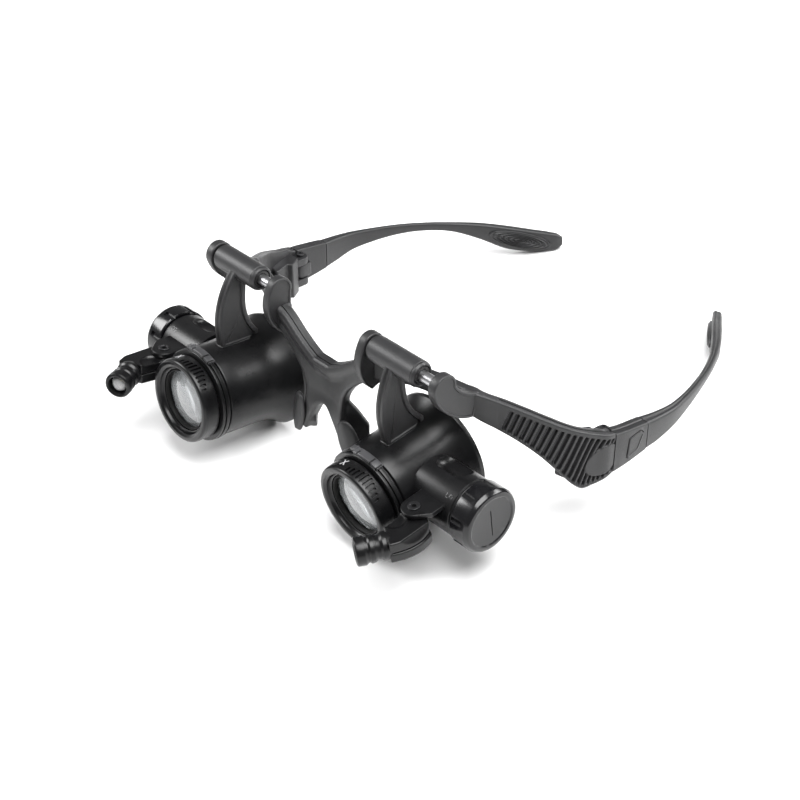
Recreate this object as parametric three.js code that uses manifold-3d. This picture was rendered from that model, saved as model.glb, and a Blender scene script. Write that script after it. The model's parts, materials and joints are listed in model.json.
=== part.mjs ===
// Double-eye loupe glasses: a spectacle frame that carries two flip-up loupes, each with its own
// battery tube and swinging lamp, and two folding temples that pull off at a latch.
// Millimetres. X runs to the wearer's left, -Y is the way the wearer looks, +Z is up.
// The origin is the middle of the flat on top of the nose bridge.
import * as THREE from 'three';
import { mergeVertices } from 'three/addons/utils/BufferGeometryUtils.js';
import Module from 'manifold-3d';

const wasm = await Module();
wasm.setup();

// ---------- driving dimensions ----------
const GAP = 0.3;                       // clearance between neighbouring solids
const ROUND = 24;                      // facets on a large round
const SMALL_ROUND = 16;                // facets on a small round

const PIN = { y: -0.5, z: 14.5, radius: 1.6, from: 19.5, to: 48.7 };
const LUG_INNER = { from: 18.6, to: 21.4 };
const LUG_OUTER = { from: 46.8, to: 49.6 };
const TUBE = { radius: 3.8, bore: 2.65, length: 19.1 };
const BUSH = { radius: 2.5, bore: 1.8 };
const FIN_WIDTH = 2.9;

const BARREL = { z: -37.5, radius: 14.0, front: -13.8, rear: 11.7, flange: 17.5, bore: 11.2 };
const COLLAR = { front: -17.0, rear: -14.1, radius: 14.3 };
const HOLDER = { front: -22.9, shoulder: -17.3, rear: -9.5, radius: 13.0, spigot: 10.8, mouth: 10.3 };
const LENS = { radius: 9.4, y: -18.5, edge: 1.4, bulge: 1.9 };
const RETAINER = { front: -21.1, rear: -19.85, bore: 8.7 };

const CELL_TUBE = { y: -2, z: -35.8, radius: 9.0, bore: 6.2, mouth: 7.8, start: 11.0, end: 27.1 };
const CAP = { radius: 9.6, start: 27.4, end: 34.2, spigot: 7.4, spigotLength: 3.6, bore: 6.4, wall: 1.7 };
const CELL = { radius: 5.8, height: 3.1, count: 3, first: 16.6 };
const SPRING = { radius: 4.4, wire: 0.35, turns: 3 };

const LAMP_PIVOT = new THREE.Vector2(18.5, -15.3);
const LAMP = { top: -32.2, seam: -35.7, bottom: -38.9, ear: 1.5, knuckle: 3.4 };
const NOSE = { start: new THREE.Vector2(20.4, -25.6), end: new THREE.Vector2(15.2, -34.4), radius: 4.1 };
const BULB_RADIUS = 2.5;

const PAD = {
  x: 12.2, y: -1.4, z: -22.7, halfWidth: 2.7, halfHeight: 7.2, thick: 1.4, lean: -0.3, turn: 0.32,
};

const FOLD_AXIS = { x: 66.4, y: 43.8 };
const KNUCKLE = { radius: 2.4, bore: 1.1, screw: 0.8 };
const EARS = [[-20.0, -17.5], [-12.5, -10.0]];
const EAR_ROOT = { x: 68.8, y: 38.8 };     // how far the ears reach into the side piece
const MID_KNUCKLE = [-17.2, -12.8];
const FRAME_END = 42.9;
const BLOCK = { start: 43.2, end: 56.0, thick: 4.2, outer: 72.1 };
const TONGUE = { front: 47.2, thick: 1.9, height: 6.2, slot: 3.4, slotEnd: 53.4, z: -15.2 };
const TIP_PAD = {
  x: 42.2, y: 122.4, z: -22.6, halfLength: 11.6, halfHeight: 3.1, thick: 1.2, droop: -0.25, turn: -0.925,
};
const LATCH = { y: 51.1, length: 5.4, height: 4.8, thick: 1.0, boss: 2.4 };

// Where each loupe stands in its adjustment: slide along the pin, tilt, and side.
const SIDES = [
  { name: 'left', sign: 1, centre: 31.25, tilt: THREE.MathUtils.degToRad(7.7) },
  { name: 'right', sign: -1, centre: 36.95, tilt: THREE.MathUtils.degToRad(-4.6) },
];

// ---------- materials ----------
const material = (color, roughness, metalness = 0) =>
  new THREE.MeshStandardMaterial({ color, roughness, metalness });
const FRAME_BLACK = material(0x1b1b1d, 0.5);
const LOUPE_BLACK = material(0x101012, 0.42);
const CAP_BLACK = material(0x0c0c0e, 0.3);
const PAD_BLACK = material(0x202022, 0.6);
const STEEL = material(0xb8babd, 0.25, 1);
const CELL_STEEL = material(0xc6c8ca, 0.3, 1);
const GLASS = material(0xcfd6d8, 0.05);
const LED_CLEAR = material(0xe8ebee, 0.1);

// ---------- solids ----------
// A closed geometry as a manifold-3d solid.
function solid(geometry) {
  const bare = geometry.clone();
  for (const name of ['normal', 'uv']) bare.deleteAttribute(name);
  const merged = mergeVertices(bare, 1e-5);
  const mesh = new wasm.Mesh({
    numProp: 3,
    vertProperties: new Float32Array(merged.attributes.position.array),
    triVerts: new Uint32Array(merged.index.array),
  });
  return new wasm.Manifold(mesh);
}

// A manifold-3d solid as a geometry.
function toGeometry(shape) {
  const mesh = shape.getMesh();
  const geometry = new THREE.BufferGeometry();
  geometry.setAttribute('position', new THREE.BufferAttribute(mesh.vertProperties, 3));
  geometry.setIndex(new THREE.BufferAttribute(mesh.triVerts, 1));
  geometry.computeVertexNormals();
  return geometry;
}

// The same solid on the other side of the YZ plane.
function mirrored(geometry) {
  const flat = geometry.index ? geometry.toNonIndexed() : geometry.clone();
  const place = flat.attributes.position;
  for (let i = 0; i < place.count; i += 3) {
    const corner = [0, 1, 2].map((k) => new THREE.Vector3().fromBufferAttribute(place, i + k));
    [0, 2, 1].forEach((from, k) => place.setXYZ(i + k, -corner[from].x, corner[from].y, corner[from].z));
  }
  flat.computeVertexNormals();
  return flat;
}

const box = (x0, x1, y0, y1, z0, z1) =>
  solid(new THREE.BoxGeometry(x1 - x0, y1 - y0, z1 - z0)
    .translate((x0 + x1) / 2, (y0 + y1) / 2, (z0 + z1) / 2));

// A round bar along X, Y or Z between two stations, with its axis at the other two coordinates.
function rod(axis, from, to, radius, a, b, facets = ROUND) {
  const bar = new THREE.CylinderGeometry(radius, radius, to - from, facets);
  const middle = (from + to) / 2;
  if (axis === 'x') bar.rotateZ(-Math.PI / 2).translate(middle, a, b);
  if (axis === 'y') bar.translate(a, middle, b);
  if (axis === 'z') bar.rotateX(Math.PI / 2).translate(a, b, middle);
  return solid(bar);
}

// A solid of revolution about a line parallel to Y at height z; points are [radius, y].
const turned = (points, z, facets = ROUND) =>
  solid(new THREE.LatheGeometry(points.map(([r, y]) => new THREE.Vector2(r, y)), facets)
    .translate(0, 0, z));

// An outline in X and Y, raised between two heights.
function slab(shape, z0, z1, curveSegments = 8) {
  const plate = new THREE.ExtrudeGeometry(shape, { depth: z1 - z0, bevelEnabled: false, curveSegments });
  return solid(plate.translate(0, 0, z0));
}

// An outline in Y and Z, drawn between two stations in X.
function sidePlate(shape, x0, x1, curveSegments = 8) {
  const plate = new THREE.ExtrudeGeometry(shape, { depth: x1 - x0, bevelEnabled: false, curveSegments });
  const turn = new THREE.Matrix4().set(0, 0, 1, x0, 1, 0, 0, 0, 0, 1, 0, 0, 0, 0, 0, 1);
  return solid(plate.applyMatrix4(turn));
}

// A bar through stations { x, y, top, bottom, thick }; x, y follow its outer face, and it is thick inwards.
function bar(stations) {
  const corners = [];
  stations.forEach((station, i) => {
    const before = stations[Math.max(i - 1, 0)];
    const after = stations[Math.min(i + 1, stations.length - 1)];
    const along = new THREE.Vector2(after.x - before.x, after.y - before.y).normalize();
    const inner = [station.x - along.y * station.thick, station.y + along.x * station.thick];
    corners.push(station.x, station.y, station.bottom, inner[0], inner[1], station.bottom);
    corners.push(inner[0], inner[1], station.top, station.x, station.y, station.top);
  });
  const faces = [0, 2, 1, 0, 3, 2];
  for (let i = 0; i < stations.length - 1; i += 1) {
    for (let k = 0; k < 4; k += 1) {
      const a = 4 * i + k;
      const b = 4 * i + (k + 1) % 4;
      faces.push(a, b, a + 4, b, b + 4, a + 4);
    }
  }
  const last = 4 * (stations.length - 1);
  faces.push(last, last + 1, last + 2, last, last + 2, last + 3);
  const geometry = new THREE.BufferGeometry();
  geometry.setAttribute('position', new THREE.BufferAttribute(new Float32Array(corners), 3));
  geometry.setIndex(faces);
  return solid(geometry);
}

const polygon = (points) => new THREE.Shape(points.map(([a, b]) => new THREE.Vector2(a, b)));

// ---------- frame ----------
// One half of the frame, on the wearer's left.
function halfFrame() {
  const plate = new THREE.Shape();
  plate.moveTo(-1, 0);
  plate.lineTo(3, 0);
  plate.quadraticCurveTo(8, 2.2, 13, 6.2);
  plate.quadraticCurveTo(17, 9.4, 21, 10.2);
  plate.lineTo(21, 3.2);
  plate.quadraticCurveTo(10.5, -1.5, 6.6, -8);
  plate.quadraticCurveTo(4.6, -12.0, 5.6, -15.5);
  plate.quadraticCurveTo(7.2, -20.5, 10.0, -26.4);
  plate.lineTo(8.7, -27.3);
  plate.quadraticCurveTo(6.0, -22, 3.2, -17.4);
  plate.quadraticCurveTo(1.8, -15.2, -1, -15.0);
  const front = solid(new THREE.ExtrudeGeometry(plate, { depth: 4, bevelEnabled: false, curveSegments: 5 })
    .rotateX(Math.PI / 2).translate(0, 2, 0));

  // The nasal wall runs back and outwards from the leg of the bridge.
  const wallShape = polygon([
    [0, -10], [1.6, -9], [5.5, -14], [8.4, -18.6], [8.4, -23], [3.6, -27], [1.8, -27], [0, -24],
  ]);
  const wall = solid(new THREE.ExtrudeGeometry(wallShape, { depth: 2, bevelEnabled: false })
    .rotateX(Math.PI / 2).translate(0, 1, 0).rotateZ(Math.PI / 4).translate(6.1, -0.6, 0));

  const brow = bar([
    { x: 19.5, y: -0.8, top: 9.6, bottom: 2.6, thick: 3.8 },
    { x: 25, y: 1.6, top: 10.0, bottom: 3.8, thick: 3.6 },
    { x: 31, y: 4.0, top: 10.0, bottom: 4.2, thick: 3.5 },
    { x: 38, y: 6.2, top: 9.8, bottom: 3.8, thick: 3.5 },
    { x: 45, y: 8.2, top: 9.2, bottom: 2.6, thick: 3.5 },
    { x: 49.7, y: 10.4, top: 8.2, bottom: 0.4, thick: 3.4 },
    { x: 54, y: 15.2, top: 5.5, bottom: -3.6, thick: 3.2 },
    { x: 58, y: 19.3, top: 3.0, bottom: -7.4, thick: 3.2 },
    { x: 62.5, y: 23.9, top: 0.1, bottom: -12.6, thick: 3.2 },
    { x: 65.6, y: 27.4, top: -2.0, bottom: -17.4, thick: 3.2 },
    { x: 67.8, y: 30.8, top: -3.8, bottom: -21.8, thick: 3.3 },
    { x: 69.0, y: 33.4, top: -5.0, bottom: -23.8, thick: 3.4 },
    { x: 70.2, y: 36.6, top: -6.4, bottom: -23.4, thick: 3.7 },
    { x: 71.6, y: 40.8, top: -7.8, bottom: -22.2, thick: 4.0 },
    { x: 71.6, y: FRAME_END, top: -8.3, bottom: -21.6, thick: 4.0 },
  ]);

  // Lugs hold the pivot pin; their outlines are in Y and Z, measured from the pin.
  const innerLug = new THREE.Shape();
  innerLug.absarc(0, 0, 3.9, -0.3, 2.4, false);
  innerLug.quadraticCurveTo(-5.4, -1.5, -5.0, -5.4);
  innerLug.quadraticCurveTo(-4.3, -10.4, -0.6, -13.6);
  innerLug.lineTo(3.2, -12.2);
  innerLug.lineTo(3.4, -5.2);
  const outerLug = new THREE.Shape();
  outerLug.absarc(0, 0, 4.0, 0.3, 3.5, false);
  outerLug.quadraticCurveTo(-2.6, -5.6, 1.8, -9.2);
  outerLug.quadraticCurveTo(6.2, -12.8, 10.6, -13.4);
  outerLug.lineTo(12.4, -6.4);
  outerLug.quadraticCurveTo(6.2, -4.6, 3.9, -0.6);
  const lug = (shape, span) => sidePlate(shape, span.from, span.to).translate([0, PIN.y, PIN.z]);

  let half = front.add(wall).add(brow).add(lug(innerLug, LUG_INNER)).add(lug(outerLug, LUG_OUTER));
  half = half.subtract(rod('x', PIN.from - GAP, PIN.to + GAP, PIN.radius + GAP, PIN.y, PIN.z, SMALL_ROUND));

  // Two hinge ears on the inner face, with room between them for the temple's knuckle.
  for (const [low, high] of EARS) {
    half = half.add(rod('z', low, high, KNUCKLE.radius, FOLD_AXIS.x, FOLD_AXIS.y, SMALL_ROUND));
    half = half.add(box(FOLD_AXIS.x - KNUCKLE.radius, EAR_ROOT.x, EAR_ROOT.y, FRAME_END, low, high));
  }
  const room = rod('z', EARS[0][1], EARS[1][0], KNUCKLE.radius + GAP, FOLD_AXIS.x, FOLD_AXIS.y, SMALL_ROUND);
  const bore = rod('z', EARS[0][0] - 2, EARS[1][1] + 2, KNUCKLE.bore, FOLD_AXIS.x, FOLD_AXIS.y, SMALL_ROUND);
  return half.subtract(room).subtract(bore);
}

function frontFrame() {
  const half = toGeometry(halfFrame());
  return toGeometry(solid(half).add(solid(mirrored(half))));
}

// A leaf-shaped pad beside the leg, leaning outwards towards its lower end.
function nosePad() {
  const leaf = new THREE.Shape();
  leaf.absellipse(0, 0, PAD.halfWidth, PAD.halfHeight, 0, 2 * Math.PI);
  return new THREE.ExtrudeGeometry(leaf, {
    depth: PAD.thick, curveSegments: 9,
    bevelEnabled: true, bevelThickness: 0.4, bevelSize: 0.5, bevelSegments: 1,
  }).rotateX(Math.PI / 2).translate(0, PAD.thick / 2, 0).rotateY(PAD.lean).rotateZ(PAD.turn)
    .translate(PAD.x, PAD.y, PAD.z);
}

const pivotPin = () => toGeometry(rod('x', PIN.from, PIN.to, PIN.radius, PIN.y, PIN.z, SMALL_ROUND));

function hingeScrew() {
  const shank = rod('z', -20.8, -9.6, KNUCKLE.screw, FOLD_AXIS.x, FOLD_AXIS.y, SMALL_ROUND);
  return toGeometry(shank.add(rod('z', -9.7, -9.0, 1.2, FOLD_AXIS.x, FOLD_AXIS.y, SMALL_ROUND)));
}

// ---------- loupe, in its own frame: origin on the pin, x outwards, -y forwards ----------
// The barrel's outside, grown by some clearance.
const barrelOutside = (grow = 0) => [
  [0, BARREL.front - grow],
  [BARREL.radius - 0.4 + grow, BARREL.front - grow],
  [BARREL.radius + grow, BARREL.front + 1],
  [BARREL.radius + 0.2 + grow, 0],
  [BARREL.radius + 1.2 + grow, 5.4],
  [BARREL.flange + grow, 10.2],
  [BARREL.flange + grow, BARREL.rear + grow],
  [0, BARREL.rear + grow],
];

function barrel() {
  const hollow = [
    [0, BARREL.front - 1],
    [BARREL.bore, BARREL.front - 1],
    [BARREL.bore, 1],
    [BARREL.bore + 1.6, 5],
    [BARREL.flange - 1.4, BARREL.rear - 0.4],
    [BARREL.flange - 1.4, BARREL.rear + 1],
    [0, BARREL.rear + 1],
  ];
  return toGeometry(turned(barrelOutside(), BARREL.z).subtract(turned(hollow, BARREL.z)));
}

// The tube that slides and turns on the pin, with the curved fin that carries the barrel.
function bracket() {
  const half = TUBE.length / 2;
  const fin = new THREE.Shape();
  fin.moveTo(-3.2, 1.2);
  fin.quadraticCurveTo(-8.8, -7.0, -9.0, -15);
  fin.quadraticCurveTo(-9.0, -19, -8.2, -26);
  fin.lineTo(5.6, -26);
  fin.lineTo(5.2, -21.4);
  fin.quadraticCurveTo(0.8, -17, 0.4, -11);
  fin.quadraticCurveTo(0.2, -7, 0.6, -2);
  const web = sidePlate(fin, -FIN_WIDTH / 2, FIN_WIDTH / 2);
  const tube = rod('x', -half, half, TUBE.radius, 0, 0);
  const bore = rod('x', -half - 1, half + 1, TUBE.bore, 0, 0, SMALL_ROUND);
  return toGeometry(web.add(tube).subtract(bore).subtract(turned(barrelOutside(GAP), BARREL.z)));
}

function pivotBush() {
  const half = TUBE.length / 2 - 0.1;
  const sleeve = rod('x', -half, half, BUSH.radius, 0, 0, SMALL_ROUND);
  return toGeometry(sleeve.subtract(rod('x', -half - 1, half + 1, BUSH.bore, 0, 0, SMALL_ROUND)));
}

function cellTube() {
  const { y, z } = CELL_TUBE;
  const outside = rod('x', CELL_TUBE.start, CELL_TUBE.end, CELL_TUBE.radius, y, z);
  const bore = rod('x', CELL.first - 1.2, CELL_TUBE.end + 1, CELL_TUBE.bore, y, z);
  const mouth = rod('x', CAP.start - CAP.spigotLength - GAP, CELL_TUBE.end + 1, CELL_TUBE.mouth, y, z);
  return toGeometry(outside.subtract(turned(barrelOutside(GAP), BARREL.z)).subtract(bore).subtract(mouth));
}

// A screw cap with a spigot that enters the tube; its rim has finger notches.
function batteryCap() {
  const { y, z } = CELL_TUBE;
  const profile = [
    [0, CAP.end],
    [CAP.radius - 1.6, CAP.end],
    [CAP.radius - 0.4, CAP.end - 0.5],
    [CAP.radius, CAP.end - 1.6],
    [CAP.radius, CAP.start],
    [CAP.spigot, CAP.start],
    [CAP.spigot, CAP.start - CAP.spigotLength],
    [CAP.bore, CAP.start - CAP.spigotLength],
    [CAP.bore, CAP.end - CAP.wall],
    [0, CAP.end - CAP.wall],
  ].reverse();
  const cup = new THREE.LatheGeometry(profile.map(([r, x]) => new THREE.Vector2(r, x)), ROUND);
  let cap = solid(cup.rotateZ(-Math.PI / 2).translate(0, y, z));
  const notches = 8;
  for (let i = 0; i < notches; i += 1) {
    const angle = (2 * Math.PI * (i + 0.5)) / notches;
    const cutter = rod('x', CAP.start - 1, CAP.end - 1.8, 0.8,
      y + (CAP.radius + 0.45) * Math.cos(angle), z + (CAP.radius + 0.45) * Math.sin(angle), 8);
    cap = cap.subtract(cutter);
  }
  return toGeometry(cap);
}

function cell(index) {
  const start = CELL.first + index * (CELL.height + GAP);
  return toGeometry(rod('x', start, start + CELL.height, CELL.radius, CELL_TUBE.y, CELL_TUBE.z, 20));
}

const contactPlate = () => toGeometry(
  rod('x', CELL.first - 0.9, CELL.first - 0.35, 4.6, CELL_TUBE.y, CELL_TUBE.z, SMALL_ROUND));

// The coil between the last cell and the cap.
function batterySpring() {
  const start = CELL.first + CELL.count * (CELL.height + GAP) + SPRING.wire + 0.1;
  const end = CAP.end - CAP.wall - SPRING.wire - 0.2;
  class Coil extends THREE.Curve {
    getPoint(t, target = new THREE.Vector3()) {
      const angle = 2 * Math.PI * SPRING.turns * t;
      return target.set(start + (end - start) * t,
        CELL_TUBE.y + SPRING.radius * Math.cos(angle), CELL_TUBE.z + SPRING.radius * Math.sin(angle));
    }
  }
  const wire = new THREE.Shape();
  wire.absarc(0, 0, SPRING.wire, 0, 2 * Math.PI);
  const steps = 12 * SPRING.turns;
  return new THREE.ExtrudeGeometry(wire, { steps, extrudePath: new Coil(), curveSegments: 3 });
}

// The locking ring at the front of the barrel, with its thumb tab on top.
function lensCollar() {
  const ring = turned([
    [HOLDER.spigot + GAP, COLLAR.front],
    [COLLAR.radius - 0.5, COLLAR.front],
    [COLLAR.radius, COLLAR.front + 0.5],
    [COLLAR.radius, COLLAR.rear],
    [HOLDER.spigot + GAP, COLLAR.rear],
    [HOLDER.spigot + GAP, COLLAR.front],
  ], BARREL.z);
  const tab = box(-2.9, 2.9, COLLAR.front + 0.3, COLLAR.rear - 0.2, BARREL.z + 13.2, BARREL.z + 15.3);
  return toGeometry(ring.add(tab));
}

// The lens carrier that plugs into the collar, with grip grooves along its top.
function lensHolder() {
  const profile = [
    [HOLDER.mouth, HOLDER.front + 0.4],
    [HOLDER.mouth + 0.7, HOLDER.front],
    [HOLDER.radius - 0.8, HOLDER.front],
    [HOLDER.radius, HOLDER.front + 0.8],
    [HOLDER.radius, HOLDER.shoulder],
    [HOLDER.spigot, HOLDER.shoulder],
    [HOLDER.spigot, HOLDER.rear],
    [8.8, HOLDER.rear],
    [8.8, LENS.y + 1.1],
    [LENS.radius + GAP, LENS.y + 1.1],
    [LENS.radius + GAP, RETAINER.front - GAP],
    [HOLDER.mouth, RETAINER.front - GAP],
    [HOLDER.mouth, HOLDER.front + 0.4],
  ];
  let holder = turned(profile, BARREL.z);
  const grooves = 9;
  for (let i = 0; i < grooves; i += 1) {
    const offset = i - (grooves - 1) / 2;
    const angle = Math.PI / 2 - 0.5 - offset * 0.12;
    const length = 3.9 - Math.abs(offset) * 0.55;
    const cutter = rod('y', -18.1 - length, -18.1, 0.42,
      HOLDER.radius * Math.cos(angle), BARREL.z + HOLDER.radius * Math.sin(angle), 6);
    holder = holder.subtract(cutter);
  }
  return toGeometry(holder);
}

function lens() {
  const points = [];
  const steps = 3;
  for (let i = 0; i <= steps; i += 1) {
    const r = (LENS.radius * i) / steps;
    points.push([r, LENS.y - LENS.edge / 2 - LENS.bulge * (1 - (i / steps) ** 2)]);
  }
  for (let i = steps; i >= 0; i -= 1) {
    const r = (LENS.radius * i) / steps;
    points.push([r, LENS.y + LENS.edge / 2 + 0.5 * LENS.bulge * (1 - (i / steps) ** 2)]);
  }
  return toGeometry(turned(points, BARREL.z));
}

const lensRetainer = () => toGeometry(turned([
  [RETAINER.bore, RETAINER.front],
  [LENS.radius, RETAINER.front],
  [LENS.radius, RETAINER.rear],
  [RETAINER.bore + 0.2, RETAINER.rear],
  [RETAINER.bore, RETAINER.front],
], BARREL.z));

// The flat ear above the lamp, fixed where the cell tube meets the barrel.
function lampEar() {
  const { x, y } = LAMP_PIVOT;
  const outline = new THREE.Shape();
  outline.absarc(x, y, LAMP.knuckle + 0.2, Math.PI, 1.78 * Math.PI, false);
  outline.lineTo(x + 5.6, y + 2.4);
  outline.lineTo(x + 5.6, y + 8);
  outline.lineTo(x - LAMP.knuckle - 0.2, y + 8);
  const low = LAMP.top + GAP;
  let ear = slab(outline, low, low + LAMP.ear);
  ear = ear.subtract(turned(barrelOutside(GAP), BARREL.z));
  ear = ear.subtract(rod('x', 0, 40, CELL_TUBE.radius + GAP, CELL_TUBE.y, CELL_TUBE.z));
  return toGeometry(ear.subtract(rod('z', low - 1, low + 3, 1.2, x, y, 12)));
}

function lampRivet() {
  const { x, y } = LAMP_PIVOT;
  const head = LAMP.top + GAP + LAMP.ear + GAP;
  const shank = rod('z', LAMP.bottom + 1, head + 0.1, 0.9, x, y, 12);
  return toGeometry(shank.add(rod('z', head, head + 0.5, 1.7, x, y, 12)));
}

// The plan of the lamp arm, from the knuckle round the elbow to the root of the nose.
function lampPlan() {
  const { x, y } = LAMP_PIVOT;
  const along = NOSE.end.clone().sub(NOSE.start).normalize();
  const across = new THREE.Vector2(-along.y, along.x);
  const root = NOSE.start.clone().addScaledVector(along, -GAP);
  const outer = root.clone().addScaledVector(across, 3.9);
  const inner = root.clone().addScaledVector(across, -3.9);
  const plan = new THREE.Shape();
  plan.absarc(x, y, LAMP.knuckle, 0.55 * Math.PI, 1.15 * Math.PI, false);
  plan.quadraticCurveTo(x - 2.4, y - 5, inner.x, inner.y);
  plan.lineTo(outer.x, outer.y);
  plan.quadraticCurveTo(27.2, -21.5, 24.6, -15.9);
  plan.lineTo(22.6, -14.4);
  return plan;
}

function lampShell(low, high) {
  const { x, y } = LAMP_PIVOT;
  return toGeometry(slab(lampPlan(), low, high, 6).subtract(rod('z', low - 1, high + 1, 1.2, x, y, 12)));
}

// A round bar along the lamp's nose, from one distance to another past its root.
function noseRod(from, to, radius, facets = 20) {
  const along = NOSE.end.clone().sub(NOSE.start);
  const angle = Math.atan2(along.y, along.x) - Math.PI / 2;
  const middle = (LAMP.top + LAMP.bottom) / 2;
  const round = new THREE.CylinderGeometry(radius, radius, to - from, facets);
  round.translate(0, (from + to) / 2, 0).rotateZ(angle).translate(NOSE.start.x, NOSE.start.y, middle);
  return solid(round);
}

const noseLength = NOSE.start.distanceTo(NOSE.end);

function lampNose() {
  const body = noseRod(0, noseLength, NOSE.radius);
  const groove = noseRod(3.4, 4.2, NOSE.radius + 1).subtract(noseRod(3.3, 4.3, NOSE.radius - 0.5));
  return toGeometry(body.subtract(groove).subtract(noseRod(3, noseLength + 1, BULB_RADIUS + GAP)));
}

function ledBulb() {
  const along = NOSE.end.clone().sub(NOSE.start);
  const angle = Math.atan2(along.y, along.x) - Math.PI / 2;
  const start = 3 + GAP;
  const straight = noseLength - 2.4;
  const points = [[0, start], [BULB_RADIUS, start]];
  for (let i = 0; i <= 4; i += 1) {
    const turn = (i / 4) * (Math.PI / 2);
    points.push([BULB_RADIUS * Math.cos(turn), straight + 2.2 * Math.sin(turn)]);
  }
  points[points.length - 1][0] = 0;
  const dome = new THREE.LatheGeometry(points.map(([r, y]) => new THREE.Vector2(r, y)), 14);
  return dome.rotateZ(angle).translate(NOSE.start.x, NOSE.start.y, (LAMP.top + LAMP.bottom) / 2);
}

// ---------- temples ----------
// The hinge block: knuckle in front, slot for the arm's tongue behind, latch window outside.
function hingeBlock() {
  let block = bar([
    { x: 71.7, y: BLOCK.start, top: -8.4, bottom: -21.5, thick: BLOCK.thick },
    { x: BLOCK.outer, y: 48.5, top: -9.2, bottom: -20.8, thick: BLOCK.thick },
    { x: BLOCK.outer, y: BLOCK.end, top: -10.3, bottom: -19.8, thick: BLOCK.thick },
  ]);
  const [low, high] = MID_KNUCKLE;
  const left = FOLD_AXIS.x - KNUCKLE.radius;
  const web = box(left + 0.8, 69, FOLD_AXIS.y, 46.8, low, high);
  const post = (from, to, radius) =>
    rod('z', from, to, radius, FOLD_AXIS.x, FOLD_AXIS.y, SMALL_ROUND);
  const below = EARS[0][0] - 4;
  const above = EARS[1][1] + 4;
  block = block.subtract(post(below, EARS[0][1] + GAP, KNUCKLE.radius + GAP));
  block = block.subtract(post(EARS[1][0] - GAP, above, KNUCKLE.radius + GAP));
  block = block.add(post(low, high, KNUCKLE.radius)).add(web).subtract(post(below, above, KNUCKLE.bore));
  const middle = BLOCK.outer - BLOCK.thick / 2 - 0.1;
  const halfSlot = TONGUE.thick / 2 + GAP;
  const halfHeight = TONGUE.height / 2 + GAP;
  const slot = box(middle - halfSlot, middle + halfSlot, TONGUE.front - GAP, BLOCK.end + 1,
    TONGUE.z - halfHeight, TONGUE.z + halfHeight);
  const halfLength = LATCH.length / 2 + GAP;
  const window = box(middle, BLOCK.outer + 2, LATCH.y - halfLength, LATCH.y + halfLength,
    TONGUE.z - LATCH.height / 2 - GAP, TONGUE.z + LATCH.height / 2 + GAP);
  return toGeometry(block.subtract(slot).subtract(window));
}

function releaseLatch() {
  const top = BLOCK.outer + 0.35;
  const inner = BLOCK.outer - BLOCK.thick / 2 - 0.4;
  const { y, length, height, boss } = LATCH;
  const plate = box(top - LATCH.thick, top, y - length / 2, y + length / 2,
    TONGUE.z - height / 2, TONGUE.z + height / 2);
  const tooth = box(inner + 0.9, top - 0.2, y - boss / 2, y + boss / 2, TONGUE.z - 1.2, TONGUE.z + 1.2);
  return toGeometry(plate.add(tooth));
}

function templeArm() {
  const arm = bar([
    { x: BLOCK.outer, y: BLOCK.end + GAP, top: -10.3, bottom: -19.8, thick: BLOCK.thick },
    { x: 72.1, y: 61, top: -10.7, bottom: -19.4, thick: 3.6 },
    { x: 71.7, y: 68, top: -11.3, bottom: -18.1, thick: 3.0 },
    { x: 69.6, y: 77, top: -12.0, bottom: -17.1, thick: 2.5 },
    { x: 66.7, y: 86, top: -12.7, bottom: -16.5, thick: 2.3 },
    { x: 63.1, y: 95, top: -13.7, bottom: -16.8, thick: 2.3 },
    { x: 58.6, y: 104, top: -14.9, bottom: -18.4, thick: 2.5 },
    { x: 53.4, y: 112.6, top: -16.1, bottom: -22.0, thick: 3.0 },
    { x: 47.5, y: 120.8, top: -17.8, bottom: -26.3, thick: 3.3 },
    { x: 42.2, y: 127.8, top: -19.6, bottom: -27.8, thick: 3.2 },
    { x: 38.2, y: 133, top: -21.6, bottom: -27.6, thick: 2.9 },
    { x: 35.3, y: 136.6, top: -23.6, bottom: -26.2, thick: 2.4 },
  ]);
  const middle = BLOCK.outer - BLOCK.thick / 2 - 0.1;
  const tongue = box(middle - TONGUE.thick / 2, middle + TONGUE.thick / 2, TONGUE.front, BLOCK.end + 1.5,
    TONGUE.z - TONGUE.height / 2, TONGUE.z + TONGUE.height / 2);
  const slot = box(middle - 2, middle + 2, TONGUE.front - 1, TONGUE.slotEnd,
    TONGUE.z - TONGUE.slot / 2, TONGUE.z + TONGUE.slot / 2);
  return toGeometry(arm.add(tongue.subtract(slot)).subtract(tipPadSolid(0.6, GAP)));
}

// The oval pad on the inner face of the tip, grown by some clearance.
function tipPadSolid(depth, grow) {
  const oval = new THREE.Shape();
  oval.absellipse(0, 0, TIP_PAD.halfLength + grow, TIP_PAD.halfHeight + grow, 0, 2 * Math.PI);
  const plate = new THREE.ExtrudeGeometry(oval, {
    depth: TIP_PAD.thick + depth, bevelEnabled: false, curveSegments: 9,
  });
  plate.rotateX(Math.PI / 2).rotateY(TIP_PAD.droop).translate(0, TIP_PAD.thick, 0);
  return solid(plate.rotateZ(TIP_PAD.turn).translate(TIP_PAD.x, TIP_PAD.y, TIP_PAD.z));
}

const tipPad = () => toGeometry(tipPadSolid(0, 0));

// ---------- assembly ----------
const group = new THREE.Group();

function place(parent, name, geometry, look, sign = 1) {
  const mesh = new THREE.Mesh(sign < 0 ? mirrored(geometry) : geometry, look);
  mesh.name = name;
  parent.add(mesh);
}

place(group, 'front_frame', frontFrame(), FRAME_BLACK);

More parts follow.
